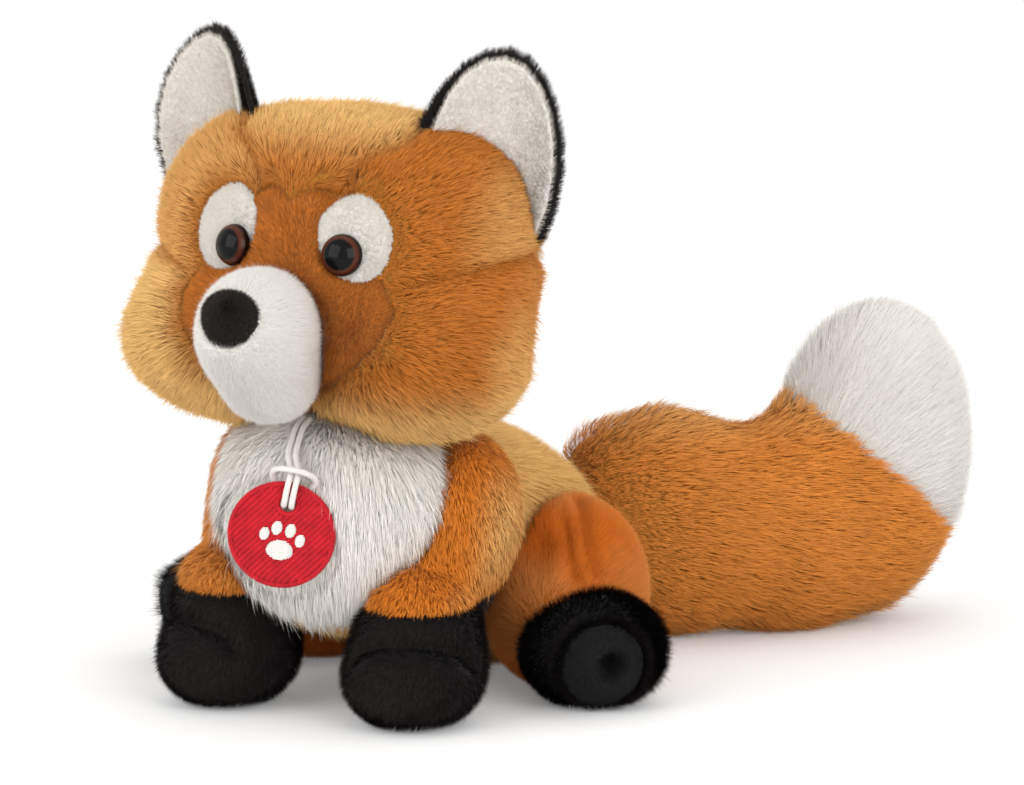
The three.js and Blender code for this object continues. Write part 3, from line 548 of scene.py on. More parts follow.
def grow_pile(name, form, picked, comb, strand_length, material, body, slot, density=1.0, stand=(55, 26),
              bunch=12, gather=0.22, wander=0.14, width=1.0, straight=None, taper=None, seams=None,
              seam_trim_and_shade=(0.5, 0.3), pale=None):
    """Strands of pile on the picked triangles of a form, brushed one way and gathered in small bunches.

    They bend from the first angle of stand to the second, or stand at the one angle that straight gives.
    """
    if straight is not None:
        stand = (straight, straight)
    pile = bpy.context.scene.fox_pile
    rng = np.random.default_rng(zlib.crc32(name.encode()))
    points, normals, corners = points_of(form.data), normals_of(form.data), triangles_of(form.data)[picked]
    a, b, c = (points[corners[:, k]] for k in range(3))
    area = np.linalg.norm(np.cross(b - a, c - a), axis=1) / 2
    count = int(area.sum() / MM**2 * pile.density * density)
    chosen = rng.choice(len(corners), count, p=area / area.sum())
    u, v = rng.random(count), rng.random(count)
    over = u + v > 1
    u[over], v[over] = 1 - u[over], 1 - v[over]
    weights = np.stack([1 - u - v, u, v], 1)[:, :, None]
    root = (points[corners[chosen]] * weights).sum(1)
    normal = unit((normals[corners[chosen]] * weights).sum(1))
    lie = comb(root)
    lie = lie + wander * np.stack([value_noise(root, 13 * MM, k + 1) for k in range(3)], 1)
    lie = lie + wander * 0.5 * np.stack([value_noise(root, 4 * MM, k + 5) for k in range(3)], 1)
    lie = lie + 0.14 * rng.standard_normal((count, 3))
    lie = unit(lie - (lie * normal).sum(1, keepdims=True) * normal)
    reach = strand_length * (0.75 + 0.35 * rng.random(count)) * (1 + 0.1 * value_noise(root, 14 * MM, 11))
    reach = reach * np.where(rng.random(count) > 0.93, 1.45, 1)
    open_pile = np.ones(count)
    # Near seams the pile is made shorter, and further down its strands are made darker: painted shade where the pile
    # parts at the seam.
    if seams is not None:
        near = np.clip((seams[corners[chosen]] * weights[:, :, 0]).sum(1) / (5 * MM), 0, 1)
        open_pile = near * near * (3 - 2 * near)
        reach = reach * (seam_trim_and_shade[0] + (1 - seam_trim_and_shade[0]) * open_pile)
    if taper is not None:
        reach = reach * taper(root)
    reach = reach[:, None]
    raised = np.radians(stand[0] + 8 * rng.standard_normal(count))[:, None]
    laid = np.radians(stand[1] + 9 * rng.standard_normal(count) + 7 * value_noise(root, 7 * MM, 13))[:, None]
    middle = root + reach * 0.5 * (np.cos(raised) * lie + np.sin(raised) * normal)
    tip = middle + reach * 0.5 * (np.cos(laid) * lie + np.sin(laid) * normal)
    tone = rng.random(count)
    if bunch:
        heads = max(8, count // bunch)
        tree = KDTree(heads)
        for i in range(heads):
            tree.insert(root[i], i)
        tree.balance()
        leader = np.fromiter((tree.find(p)[1] for p in root), np.int64, count)
        pull = gather * (0.5 + rng.random(count))[:, None]
        tip += (tip[leader] - tip) * pull
        middle += (middle[leader] - middle) * pull * 0.4
        tone = 0.5 * tone + 0.5 * tone[leader]
    # Strands near seams are darkened: painted shade.
    tone = np.clip(tone + 0.15 * value_noise(root, 18 * MM, 21), 0, 1) * (seam_trim_and_shade[1] + (1 - seam_trim_and_shade[1]) * open_pile)
    root = root - normal * 0.4 * MM
    run = unit(tip - root)
    across = unit(np.cross(run, normal))
    turn = (rng.random(count)[:, None] - 0.5) * 1.7
    across = unit(across * np.cos(turn) + np.cross(run, across) * np.sin(turn))
    facing = np.cross(across, run)
    flip = np.sign((facing * normal).sum(1, keepdims=True))
    flip[flip == 0] = 1
    across, facing = across * flip, facing * flip
    half = across * (pile.width * width / 2) * (0.8 + 0.4 * rng.random(count))[:, None]
    if straight is None:
        rows, steps, sides = [root, middle - half, middle + half, tip], (0, 0.5, 0.5, 1), (0.5, 0.15, 0.85, 0.5)
        faces = np.array([[0, 2, 1], [1, 2, 3]])
    else:
        rows, steps, sides = [root - half, root + half, tip], (0.4, 0.4, 1), (0.15, 0.85, 0.5)
        faces = np.array([[0, 1, 2]])
    per = len(rows)
    placed = np.stack(rows, 1).reshape(-1, 3)
    placed[:, 2] = np.maximum(placed[:, 2], PILE_REST)
    every = (np.arange(count)[:, None, None] * per + faces[None]).reshape(-1, 3)
    mesh = bpy.data.meshes.new(name)
    mesh.vertices.add(len(placed))
    mesh.vertices.foreach_set("co", placed.ravel())
    mesh.loops.add(every.size)
    mesh.loops.foreach_set("vertex_index", every.ravel().astype(np.int32))
    mesh.polygons.add(len(every))
    mesh.polygons.foreach_set("loop_start", np.arange(0, every.size, 3, dtype=np.int32))
    mesh.polygons.foreach_set("use_smooth", np.ones(len(every), bool))
    mesh.update(calc_edges=True)
    # The pale value paints strands lighter and golder, less so near seams: painted sheen and painted light, set by
    # each call's pale function.
    paleness = np.zeros(count) if pale is None else np.clip(pale(root), 0, 1) * (0.3 + 0.7 * open_pile)
    for label, values in (("along", np.tile(steps, count)), ("strand", np.repeat(tone, per)),
                          ("pale", np.repeat(paleness, per))):
        mesh.attributes.new(label, "FLOAT", "POINT").data.foreach_set("value", values.astype(np.float32))
    side = math.ceil(math.sqrt(count))
    cell = np.stack([np.arange(count) % side, np.arange(count) // side], 1)[:, None, :]
    inside = np.stack([np.array(sides), np.interp(steps, (min(steps), 1), (0.1, 0.9))], 1)[None]
    laid_out = ((cell + inside) / side).reshape(-1, 2)[every.ravel()]
    mesh.uv_layers.new(name="OFBake").data.foreach_set("uv", laid_out.ravel().astype(np.float32))
    shaded = unit(normal * 0.9 + facing * 0.1 + run * 0.15 + 0.05 * rng.standard_normal((count, 3)))
    mesh.normals_split_custom_set_from_vertices(np.repeat(shaded, per, axis=0).tolist())
    piece = bpy.data.objects.new(name, mesh)
    bpy.context.scene.collection.objects.link(piece)
    return finish_piece(piece, material, body, slot)


def rise(low, high, values):
    """A soft step from 0 to 1 between two values, which are given in millimetres."""
    share = np.clip((values / MM - low) / (high - low), 0, 1)
    return share * share * (3 - 2 * share)


def golden():
    c = bpy.context.scene.fox_colours
    return pile_material("Golden pile", c.rust, c.orange, c.gold, 0.28, sheen=0.8)


def russet():
    c = bpy.context.scene.fox_colours
    tip = [0.8 * r + 0.2 * g for r, g in zip(c.russet, c.gold)]
    return pile_material("Russet pile", toned(c.rust, 0.8), c.russet, tip, 0.3, sheen=0.8,
                         light=toned(c.gold, 0.95))


# A lightened copy of the russet pile for the legs and the tail, which get less light: painted light.
def lit_russet():
    c = bpy.context.scene.fox_colours
    body = [k * v for k, v in zip((1.38, 1.45, 1.3), c.russet)]
    tip = [0.85 * r + 0.15 * g for r, g in zip(body, c.gold)]
    return pile_material("Bright russet pile", c.rust, body, tip, 0.3, sheen=0.8, light=toned(c.gold, 0.95))


def white_pile():
    c = bpy.context.scene.fox_colours
    return pile_material("White pile", toned(c.white, 0.86), toned(c.white, 0.95), c.white, 0.08,
                         sheen=0.2)


def cream_pile():
    white = bpy.context.scene.fox_colours.white
    shades = [[v * k for v, k in zip(white, (m, m * 0.97, m * 0.92))] for m in (0.76, 0.82, 0.86)]
    return pile_material("Cream pile", *shades, 0.08, sheen=0.15)


# Tips far lighter than the black: painted highlight on the fuzz.
def black_pile():
    c = bpy.context.scene.fox_colours
    return pile_material("Black pile", toned(c.black, 0.6), c.black, toned(c.black, 3.2), 0.6,
                         sheen=0.15)


BACKINGS = {  # the colour of the cloth under each kind of pile, and its gain; a gain under 1 darkens the cloth as painted shade in the gaps between the strands
    "golden_pile": ("orange", 0.8),
    "russet_pile": ("orange", 0.8),
    "short_russet_pile": ("mask", 0.8),
    "rust_pile": ("russet", 1),
    "white_pile": ("white", 0.9),
    "black_pile": ("black", 0.8),
}


def backing(slot):
    """The cloth that the pile of a slot is knitted into."""
    name, gain = BACKINGS[slot]
    value = getattr(bpy.context.scene.fox_colours, name)
    return cloth_material(slot.replace("_", " ") + " backing", toned(value, gain))


# Operators


PHOTO_TURN, PHOTO_RISE = math.radians(31), math.radians(12.5)
CAMERA_AIM, CAMERA_WAY = Vector((0, -0.1, 0)), 3.04
LOOK_AHEAD, LOOK_RIGHT, LOOK_UP = 3.0, 0.06336, 0.10544
LAMPS_AIM = Vector((0, -0.03, 0.08))
LAMPS = (  # name, place, size in metres, power in watts
    ("Key", (-0.9, -2.1, 1.1), 2.0, 26),
    ("Fill", (2.0, -1.3, 1.0), 1.8, 28),
    ("Top", (0.3, 0.5, 2.2), 1.8, 5),
)


def seen_directly(tree):
    """1 for the rays that come from the camera or from a glossy surface."""
    path = chain(tree, "LightPath")
    both = chain(tree, "Math", {"operation": "MAXIMUM"}, _0=path.outputs["Is Camera Ray"],
                 _1=path.outputs["Is Glossy Ray"])
    return both.outputs[0]


class FOX_OT_stage(bpy.types.Operator):
    """Floor, light and the camera at the photograph's angle"""

    bl_idname = "fox.stage"
    bl_label = "Stage"

    def execute(self, context):
        scene = context.scene
        scene.view_settings.view_transform = "Standard"
        right = Vector((math.cos(PHOTO_TURN), math.sin(PHOTO_TURN), 0))
        level = math.cos(PHOTO_RISE)
        toward = Vector((math.sin(PHOTO_TURN) * level, -math.cos(PHOTO_TURN) * level, math.sin(PHOTO_RISE)))
        up = toward.cross(right)
        bpy.ops.object.select_all(action="DESELECT")
        bpy.ops.object.camera_add(location=CAMERA_AIM + toward * CAMERA_WAY)
        camera = bpy.context.active_object
        camera.name = "Camera"
        look = -toward * LOOK_AHEAD + right * LOOK_RIGHT + up * LOOK_UP
        camera.rotation_euler = look.to_track_quat("-Z", "Y").to_euler()
        camera.data.sensor_width = 36
        camera.data.lens = 319.6
        camera.data.clip_end = 60
        scene.camera = camera

        bpy.ops.mesh.primitive_plane_add(size=40, location=(0, 0, 0))
        floor = fresh("floor")
        material, tree, shader = new_material("Pale floor", 0.9, 0.0)
        shader.inputs["Base Color"].default_value = (0.8, 0.8, 0.8, 1)
        glow = chain(tree, "Emission", Color=(1, 1, 1, 1), Strength=0.16)
        none = chain(tree, "Emission", Color=(0, 0, 0, 1), Strength=0.0)
        lift = chain(tree, "MixShader", _0=seen_directly(tree), _1=none.outputs[0], _2=glow.outputs[0])
        both = chain(tree, "AddShader", _0=shader.outputs[0], _1=lift.outputs[0])
        tree.links.new(both.outputs[0], tree.nodes["Material Output"].inputs["Surface"])
        floor.data.materials.append(material)

        world = bpy.data.worlds.new("Studio")
        scene.world = world
        world.use_nodes = True
        tree = world.node_tree
        seen = chain(tree, "Background", Color=(1, 1, 1, 1), Strength=1.0)
        light = tree.nodes["Background"]
        light.inputs["Color"].default_value = (1, 0.99, 0.98, 1)
        light.inputs["Strength"].default_value = 0.95
        join = chain(tree, "MixShader", _0=seen_directly(tree), _1=light.outputs[0], _2=seen.outputs[0])
        tree.links.new(join.outputs[0], tree.nodes["World Output"].inputs["Surface"])
        for name, place, size, power in LAMPS:
            bpy.ops.object.light_add(type="AREA", location=place)
            lamp = bpy.context.active_object
            lamp.name = lamp.data.name = name
            lamp.rotation_euler = (LAMPS_AIM - lamp.location).to_track_quat("-Z", "Y").to_euler()
            lamp.data.size = size
            lamp.data.energy = power
        return {"FINISHED"}


# Tag and cord, with the same points as the source

TAG_MIDDLE = Vector((3, -130, 66.3)) * MM
TAG_TURN = Matrix.Rotation(math.radians(26), 3, "Z") @ Matrix.Rotation(math.radians(12), 3, "Y")
TAG_RADIUS = 18 * MM
TAG_HOLE = (3.2 * MM, 10.5 * MM)
TAG_PRINT = [(0.4, -5, 4.4, 3.3), (-5.6, -0.6, 1.6, 2.1), (-1.9, 2.1, 1.7, 2.3), (2.7, 2.1, 1.7, 2.3),
             (6.4, -0.6, 1.6, 2.1)]
CORD_DIAMETER = 2.1 * MM
CORD_FALL = [(0, -108.3, 101.3), (0.4, -113.2, 99.8), (1.8, -119, 96.2), (3.8, -124.6, 92)]
STRAND_SPACING = 2.5
STRAND_ON_TAG = [
    (-1.25, 1.7, 21.2),
    (-1.25, 2.9, 16.7),
    (-1.25, 2.9, 13.2),
    (-1.25, 2.2, 10.9),
    (-1.3, 0, 9.9),
    (-1.5, -2.2, 10.4),
    (-3, -3.1, 12.7),
    (-5.5, -3, 15.7),
    (-7.2, -1.8, 18.9),
    (-6.6, 0.8, 21.1),
    (-4.4, 3.6, 22.5),
]
BIGHT_ON_TAG = (0, 4.9, 23.1)


def on_tag(across, ahead, up):
    """A point that is given across, ahead and up from the middle of the tag, in millimetres."""
    return TAG_MIDDLE + TAG_TURN @ (Vector((across, -ahead, up)) * MM)


def strand_route(side):
    fall = []
    for i, (x, y, z) in enumerate(CORD_FALL):
        turn = math.radians(26) * i / len(CORD_FALL)
        half = side * STRAND_SPACING / 2
        fall.append(Vector((x + half * math.cos(turn), y + half * math.sin(turn), z)) * MM)
    return fall + [on_tag(-side * p[0], p[1], p[2]) for p in STRAND_ON_TAG]


def cord_route(steps=9):
    """The smooth centreline of the cord, through its points, as a centripetal Catmull-Rom curve."""
    knots = strand_route(-1) + [on_tag(*BIGHT_ON_TAG)] + strand_route(1)[::-1]
    knots = [2 * knots[0] - knots[1], *knots, 2 * knots[-1] - knots[-2]]
    found = []
    for p0, p1, p2, p3 in zip(knots, knots[1:], knots[2:], knots[3:]):
        t = [0]
        for one, two in ((p0, p1), (p1, p2), (p2, p3)):
            t.append(t[-1] + max((two - one).length, 1e-9) ** 0.5)
        for k in range(steps):
            s = t[1] + (t[2] - t[1]) * k / steps
            a1 = p0.lerp(p1, (s - t[0]) / (t[1] - t[0]))
            a2 = p1.lerp(p2, (s - t[1]) / (t[2] - t[1]))
            a3 = p2.lerp(p3, (s - t[2]) / (t[3] - t[2]))
            b1 = a1.lerp(a2, (s - t[0]) / (t[2] - t[0]))
            b2 = a2.lerp(a3, (s - t[1]) / (t[3] - t[1]))
            found.append(b1.lerp(b2, (s - t[1]) / (t[2] - t[1])))
    return found + [knots[-2]]


def frames_along(centres):
    """Each point of a line, with two directions across the line that turn as little as they can."""
    reference = None
    for i, p in enumerate(centres):
        ahead = (centres[min(i + 1, len(centres) - 1)] - centres[max(i - 1, 0)]).normalized()
        if reference is None:
            reference = ahead.orthogonal()
        reference = (reference - ahead * reference.dot(ahead)).normalized()
        yield p, reference, ahead.cross(reference)


def tube(bm, centres, radius, sides=5):
    """Adds a closed tube along the centres."""
    angles = [2 * math.pi * k / sides for k in range(sides)]
    rings = [[bm.verts.new(p + (one * math.cos(w) + other * math.sin(w)) * radius) for w in angles]
             for p, one, other in frames_along(centres)]
    for one, two in zip(rings, rings[1:]):
        for k in range(sides):
            bm.faces.new((one[k], one[(k + 1) % sides], two[(k + 1) % sides], two[k]))
    bm.faces.new(rings[0][::-1])
    bm.faces.new(rings[-1])


def slanting_stitches(bm, rng):
    """Rows of slanting stitches on both faces of the tag."""
    pitch, stitch, lean = 0.62 * MM, 2.6 * MM, 0.16 * MM
    for face in (-1, 1):
        for row in range(-28, 29):
            for column in range(-9, 10):
                x = row * pitch
                z = column * stitch + (row % 3) * stitch / 3
                if math.hypot(x, z) > 16.4 * MM or math.hypot(x, z - TAG_HOLE[1]) < TAG_HOLE[0] + 0.9 * MM:
                    continue
                y = face * 0.78 * MM
                ends = [Vector((x - lean, y, z - stitch * 0.52)), Vector((x, y + face * 0.14 * MM, z)),
                        Vector((x + lean, y, z + stitch * 0.52))]
                tube(bm, ends, (0.3 + 0.03 * rng.random()) * MM)


def overcast(bm, rng, middle, radius, pitch, reach, outward):
    """Stitches over one edge of the tag: outward 1 is its rim, and -1 the edge of its hole."""
    number = int(2 * math.pi * radius / pitch)
    for k in range(number):
        w = 2 * math.pi * (k + 0.25 * rng.random()) / number
        out = Vector((math.cos(w), 0, math.sin(w)))
        on = Vector((-math.sin(w), 0, math.cos(w)))
        path = []
        for s in range(-3, 4):
            v = s / 3 * math.radians(115)
            path.append(middle + out * (radius + outward * (reach * 1.05 * math.cos(v) - 0.2 * MM))
                        + Vector((0, 1, 0)) * 1.0 * MM * math.sin(v) + on * 0.1 * MM * s / 3)
        tube(bm, path, 0.31 * MM)


def paw_print(rng):
    """Satin stitches across each pad of a paw print."""
    bm = bmesh.new()
    for x, z, wide, high in TAG_PRINT:
        rows = int(2 * high / 0.5)
        for row in range(rows):
            up = (2 * (row + 0.5) / rows - 1) * high
            half = wide * math.sqrt(max(0, 1 - (up / high) ** 2)) * (0.95 + 0.1 * rng.random())
            ends = [Vector((x + half * t, -1.05 - 0.28 * (1 - t * t), z + up + 0.12 * t)) * MM
                    for t in (-1, -0.6, 0, 0.6, 1)]
            tube(bm, ends, 0.3 * MM)
    return object_of(bm, "tag_print")


def braid(route):
    """Yarns that wind round the route of the cord."""
    bm = bmesh.new()
    yarns, yarn, pitch = 5, CORD_DIAMETER * 0.27, 5.2 * MM
    for k in range(yarns):
        path, gone = [], 0.0
        for i, (p, one, other) in enumerate(frames_along(route)):
            if i:
                gone += (p - route[i - 1]).length
            w = 2 * math.pi * (k / yarns + gone / pitch)
            path.append(p + (one * math.cos(w) + other * math.sin(w)) * (CORD_DIAMETER / 2 - yarn))
        tube(bm, path, yarn, 6)
    return object_of(bm, "cord")


class FOX_OT_tag(bpy.types.Operator):
    """Embroidered tag with its overcast rim, and the braided cord that it hangs on"""

    bl_idname = "fox.tag"
    bl_label = "Tag and cord"

    def execute(self, context):
        red = context.scene.fox_colours.tag
        thread = flecked_material("Tag thread", 0.6, 0.15, rgba(toned(red, 0.6)), rgba(toned(red, 1.3)), 260.0, 0.1,
                                  "weave")
        bpy.ops.object.select_all(action="DESELECT")
        bpy.ops.mesh.primitive_cylinder_add(vertices=96, radius=17.2 * MM, depth=1.5 * MM,
                                            rotation=(math.pi / 2, 0, 0))
        disc = fresh("tag")
        bpy.ops.mesh.primitive_cylinder_add(vertices=40, radius=TAG_HOLE[0], depth=9 * MM,
                                            location=(0, 0, TAG_HOLE[1]), rotation=(math.pi / 2, 0, 0))
        hole = fresh("hole")
        settle(disc)
        settle(hole)
        apply_modifier(disc, "BOOLEAN", object=hole, operation="DIFFERENCE", solver="EXACT")
        bpy.data.objects.remove(hole)

        rng = np.random.default_rng(4)
        bm = bmesh.new()
        bm.from_mesh(disc.data)
        slanting_stitches(bm, rng)
        overcast(bm, rng, Vector((0, 0, 0)), 17.0 * MM, 0.6 * MM, 0.95 * MM, 1)
        overcast(bm, rng, Vector((0, 0, TAG_HOLE[1])), TAG_HOLE[0] + 0.25 * MM, 0.5 * MM, 0.8 * MM, -1)
        bmesh.ops.recalc_face_normals(bm, faces=bm.faces)
        bm.to_mesh(disc.data)
        bm.free()
        weave = disc.data.attributes.new("weave", "FLOAT_VECTOR", "POINT")
        weave.data.foreach_set("vector", points_of(disc.data).ravel().astype(np.float32))
        placed = Matrix.Translation(TAG_MIDDLE) @ TAG_TURN.to_4x4()
        disc.data.transform(placed)
        shade_smooth(disc.data)
        finish_piece(disc, thread, "tag", "tag_cloth", ["tag_disc"])

        print_stitches = paw_print(rng)
        print_stitches.data.transform(placed)
        white = flecked_material("Cord cotton", 0.75, 0.25, (0.55, 0.52, 0.48, 1), (0.88, 0.86, 0.83, 1), 2400.0, 0.3)
        finish_piece(print_stitches, white, "tag", "tag_cord")
        route = cord_route()
        cord = braid(route)
        finish_piece(cord, white, "tag", "tag_cord", ["tag_cord"])
        run = sum((b - a).length for a, b in zip(route, route[1:]))
        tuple(route[0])
        return {"FINISHED"}


EYE_RADIUS, EYE_RISE = 7 * MM, 5 * MM
HEAD_NODES = ["crown", "nape", "face_mask", "temple_left", "temple_right", "cheek_left", "cheek_right",
              "eye_patch_left", "eye_patch_right"]


PATCH_MIDDLE, PATCH_HALF, PATCH_LEAN = (24.2, -118, 166), (12.6, 15.2), 20
EYE_AXIS = (0.225, -0.954, 0.199)


def kind_of(node):
    """The name of a panel without its side."""
    return node.replace("_left", "").replace("_right", "")


def in_patch(points, s):
    """Which points lie in the oval of white pile round an eye."""
    ahead = unit(np.array(EYE_AXIS) * (s, 1, 1))
    across = unit(np.cross(ahead, (0, 0, 1))) * s
    across *= np.sign(across[0]) * s
    up = unit(np.array((0, 0, 1)) - ahead * ahead[2])
    offset = points - np.array(PATCH_MIDDLE) * (s, 1, 1) * MM + (0 if s > 0 else 1.5 * MM, 0, 0)
    lean = math.radians(PATCH_LEAN)
    out, high = offset @ across, offset @ up
    wide = (out * math.cos(lean) + high * math.sin(lean)) / (PATCH_HALF[0] * MM)
    long = (high * math.cos(lean) - out * math.sin(lean)) / (PATCH_HALF[1] * MM)
    return (wide**2 + long**2 < 1) & (offset @ ahead > -20 * MM)


class FOX_OT_head(bpy.types.Operator):
    """Head panels and their brushed pile"""

    bl_idname = "fox.head"
    bl_label = "Head"

    def execute(self, context):
        pile, colours = context.scene.fox_pile, context.scene.fox_colours
        form = sewn_form("head_form", HEAD_NODES + ["head_stuffing"], (0, -0.080, 0.149), (1, 0.9, 0.95),
                         fineness=7, rounding=30)
        for s in (1, -1):
            press(form, (s * 46, -116, 102), (-s * 2.5, 0.5, 3), 16)
        ways = share_out(form, HEAD_NODES)
        for side, s in SIDES:
            ways[:, HEAD_NODES.index("eye_patch_" + side)] = np.where(in_patch(middles_of(form.data), s), -1, 1)
        owner = ways.argmin(1)
        depths = {"crown": 2, "nape": 1.5, "face_mask": 0.9, "temple": 1.8, "cheek": 2.4, "eye_patch": 0.7}
        sink_skin(form, owner, [depths[kind_of(node)] * MM for node in HEAD_NODES])
        seams = draw_in_seams(form, owner)
        shown = bare(form, HEAD_NODES + ["head_stuffing"], 2.5 * MM)
        slots = {"crown": "golden_pile", "nape": "golden_pile", "face_mask": "short_russet_pile",
                 "temple": "russet_pile", "cheek": "russet_pile", "eye_patch": "white_pile"}
        mask = pile_material("Mask pile", toned(colours.mask, 0.35), colours.mask,
                             toned(colours.mask, 1.5), 0.6)
        for k, node in enumerate(HEAD_NODES):
            kind = kind_of(node)
            s = -1 if node.endswith("right") else 1
            slot, keep = slots[kind], owner == k
            cut_panel(form, node + "_cloth", keep, backing(slot), "head", slot, [node])
            # The pale functions paint light: the crown lighter on top, the temples and the cheeks lighter outward, the
            # cheeks lighter low down where they face into shade, and the right temple and the right cheek lighter all
            # over as painted sheen. Near the seams the pile is darker: painted shade.
            settings = {
                "crown": (combed((0, -0.150, 0.165), (0, 0.25, 0.12)), pile.crown, russet(),
                          dict(pale=lambda p: 0.1 + 0.9 * rise(183, 198, p[:, 2]))),
                "nape": (combed((0, -0.10, 0.25), (0, 0, -0.4)), pile.crown, golden(),
                         dict(density=0.65, width=1.3, straight=34, pale=lambda p: 0.6 + 0 * p[:, 0])),
                "temple": (combed((0, -0.150, 0.165), (s * 0.3, 0.3, 0.1)), pile.temple, russet(),
                           dict(pale=lambda p: 0.5 * rise(50, 64, np.abs(p[:, 0])) + (0 if s > 0 else 0.55))),
                "cheek": (combed((0, -0.150, 0.150), (s * 0.35, 0.3, -0.2)), pile.cheek, russet(),
                          dict(pale=lambda p: 1.1 - 1.1 * rise(104, 124, p[:, 2])
                               + (0.7 * rise(62, 71, p[:, 0]) if s > 0 else 0.6 + 0.6 * rise(32, 46, -p[:, 0])))),
                "face_mask": (combed((0, -0.165, 0.140), (0, 0, 0.1)), pile.mask, mask,
                              dict(density=1.7, width=0.75, straight=48, bunch=16, gather=0.4,
                                   wander=0.3)),
                "eye_patch": (combed((s * 0.021, -0.13, 0.160), (0, 0, 0)), pile.patch, cream_pile(),
                              dict(density=2.2, width=0.75, bunch=0, straight=60)),
            }[kind]
            comb, reach, material, more = settings
            grow_pile(node + "_pile", form, keep & shown, comb, reach, material, "head", slot, seams=seams, **more)
        bpy.data.objects.remove(form)
        return {"FINISHED"}


class FOX_OT_face(bpy.types.Operator):
    """Muzzle, nose and eyes"""

    bl_idname = "fox.face"
    bl_label = "Muzzle, nose and eyes"

    def execute(self, context):
        pile, colours = context.scene.fox_pile, context.scene.fox_colours
        form = sewn_form("muzzle_form", ["muzzle"], (0, -0.138, 0.130), rounding=20)
        points = points_of(form.data) * (1, 1, 0.965) + (0, 0, 6 * MM)
        points[:, 0] *= 1 - 0.17 * rise(98, 116, points[:, 2])
        move_points(form.data, points)
        draw_in_folds(form, [[(0, -152, 113), (0, -146, 108)]], 1.0, 3)
        shown = middles_of(form.data)[:, 1] < -0.116
        grow_pile("muzzle_pile", form, shown, combed((0, -0.172, 0.142), (0, 0.2, 0)), pile.muzzle, white_pile(),
                  "head", "white_pile", density=1.8, width=0.85, bunch=0, wander=0.3, straight=60)
        form.name = form.data.name = "muzzle_cloth"
        finish_piece(form, backing("white_pile"), "head", "white_pile", ["muzzle"])

        form = sewn_form("nose_form", ["nose"], (0, -0.159, 0.140), fineness=5, rounding=5)
        points = points_of(form.data)
        points[:, 0] *= 0.92 + 0.12 * (points[:, 2] / MM - 140) / 9
        move_points(form.data, points + (1.3 * MM, 0.9 * MM, 1.8 * MM))
        flock = cloth_material("Nose flock", colours.nose, 0.9, 2600.0, 0.6, 0.1)
        dark = pile_material("Nose fibres", toned(colours.nose, 0.6), colours.nose,
                             toned(colours.nose, 2.6), 0.8, sheen=0.1)
        grow_pile("nose_flock", form, bare(form, ["nose"], 3 * MM), combed((0, -0.168, 0.150), (0, 0, -0.3)),
                  1.6 * MM, dark, "head", "nose_flock", density=5.5, width=0.7, bunch=9, gather=0.4, straight=60)
        form.name = form.data.name = "nose_pad"
        finish_piece(form, flock, "head", "nose_flock", ["nose"])

        glass, tree, shader = new_material("Eye plastic", 0.13, 0.15)
        away = chain(tree, "Attribute", {"attribute_name": "away"})
        ramp = chain(tree, "ValToRGB", _0=away.outputs["Fac"])
        stops = ramp.color_ramp
        stops.elements[0].color = (0.002, 0.0015, 0.0015, 1)
        stops.elements[0].position = 0.70
        stops.elements[1].color = rgba(colours.iris)
        stops.elements[1].position = 0.80
        for position, gain in ((0.89, 0.9), (0.95, 0.2), (1.0, 0.05)):
            stop = stops.elements.new(position)
            stop.color = rgba(colours.iris, gain)
        tree.links.new(ramp.outputs["Color"], shader.inputs["Base Color"])
        for side, s in SIDES:
            axis = Vector((s * EYE_AXIS[0], *EYE_AXIS[1:])).normalized()
            node = points_of(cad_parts["eye_" + side].data)
            front = Vector(node[np.argmax(node @ np.array(axis))]) - axis * EYE_RISE
            bpy.ops.object.select_all(action="DESELECT")
            bpy.ops.mesh.primitive_uv_sphere_add(segments=64, ring_count=40, radius=1)
            eye = fresh("eye_" + side + "_dome")
            co = points_of(eye.data)
            away_from = np.linalg.norm(co[:, :2], axis=1)
            shade = np.where(co[:, 2] < -1e-4, 1.0, away_from)
            co[:, :2] *= EYE_RADIUS
            co[:, 2] = np.where(co[:, 2] > 0, co[:, 2] * EYE_RISE, co[:, 2] * 1.6 * MM)
            turn = axis.to_track_quat("Z", "Y").to_matrix()
            co = co @ np.array(turn).T + np.array(front)
            move_points(eye.data, co)
            eye.data.attributes.new("away", "FLOAT", "POINT").data.foreach_set("value", shade.astype(np.float32))
            shade_smooth(eye.data)
            finish_piece(eye, glass, "head", "eye_plastic", ["eye_" + side])
        return {"FINISHED"}


def remeshed(node, name, voxel, rounding):
    """A smooth copy of a CAD node."""
    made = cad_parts[node].copy()
    made.data = made.data.copy()
    made.name = made.data.name = name
    made.parent = None
    for key in list(made.keys()):
        del made[key]
    bpy.context.scene.collection.objects.link(made)
    made.hide_render = made.hide_viewport = False
    bm = bmesh.new()
    bm.from_mesh(made.data)
    bmesh.ops.remove_doubles(bm, verts=bm.verts, dist=1e-6)
    bm.to_mesh(made.data)
    bm.free()
    apply_modifier(made, "REMESH", mode="VOXEL", voxel_size=voxel)
    apply_modifier(made, "SMOOTH", factor=0.5, iterations=rounding)
    shade_smooth(made.data)
    return made


def triangulated(obj):
    bm = bmesh.new()
    bm.from_mesh(obj.data)
    bmesh.ops.triangulate(bm, faces=bm.faces)
    bm.to_mesh(obj.data)
    bm.free()


def shape_ear(cloth, s, is_back):
    """Brings the end of the ear forward, and lets the foot of its back stand out beside the lining."""
    points = points_of(cloth.data)
    height = np.clip((points[:, 2] / MM - 168) / 54, 0, 1)
    points[:, 1] -= 5.5 * MM * height**2
    if is_back:
        inward = np.array((-s * 0.961, -0.276, 0))
        inner = rise(2, 18, (points - np.array((s * 0.056, -0.074, 0.19))) @ inward)
        points += inward * (8 * MM * inner * (1 - height) ** 1.2)[:, None]
    move_points(cloth.data, points)


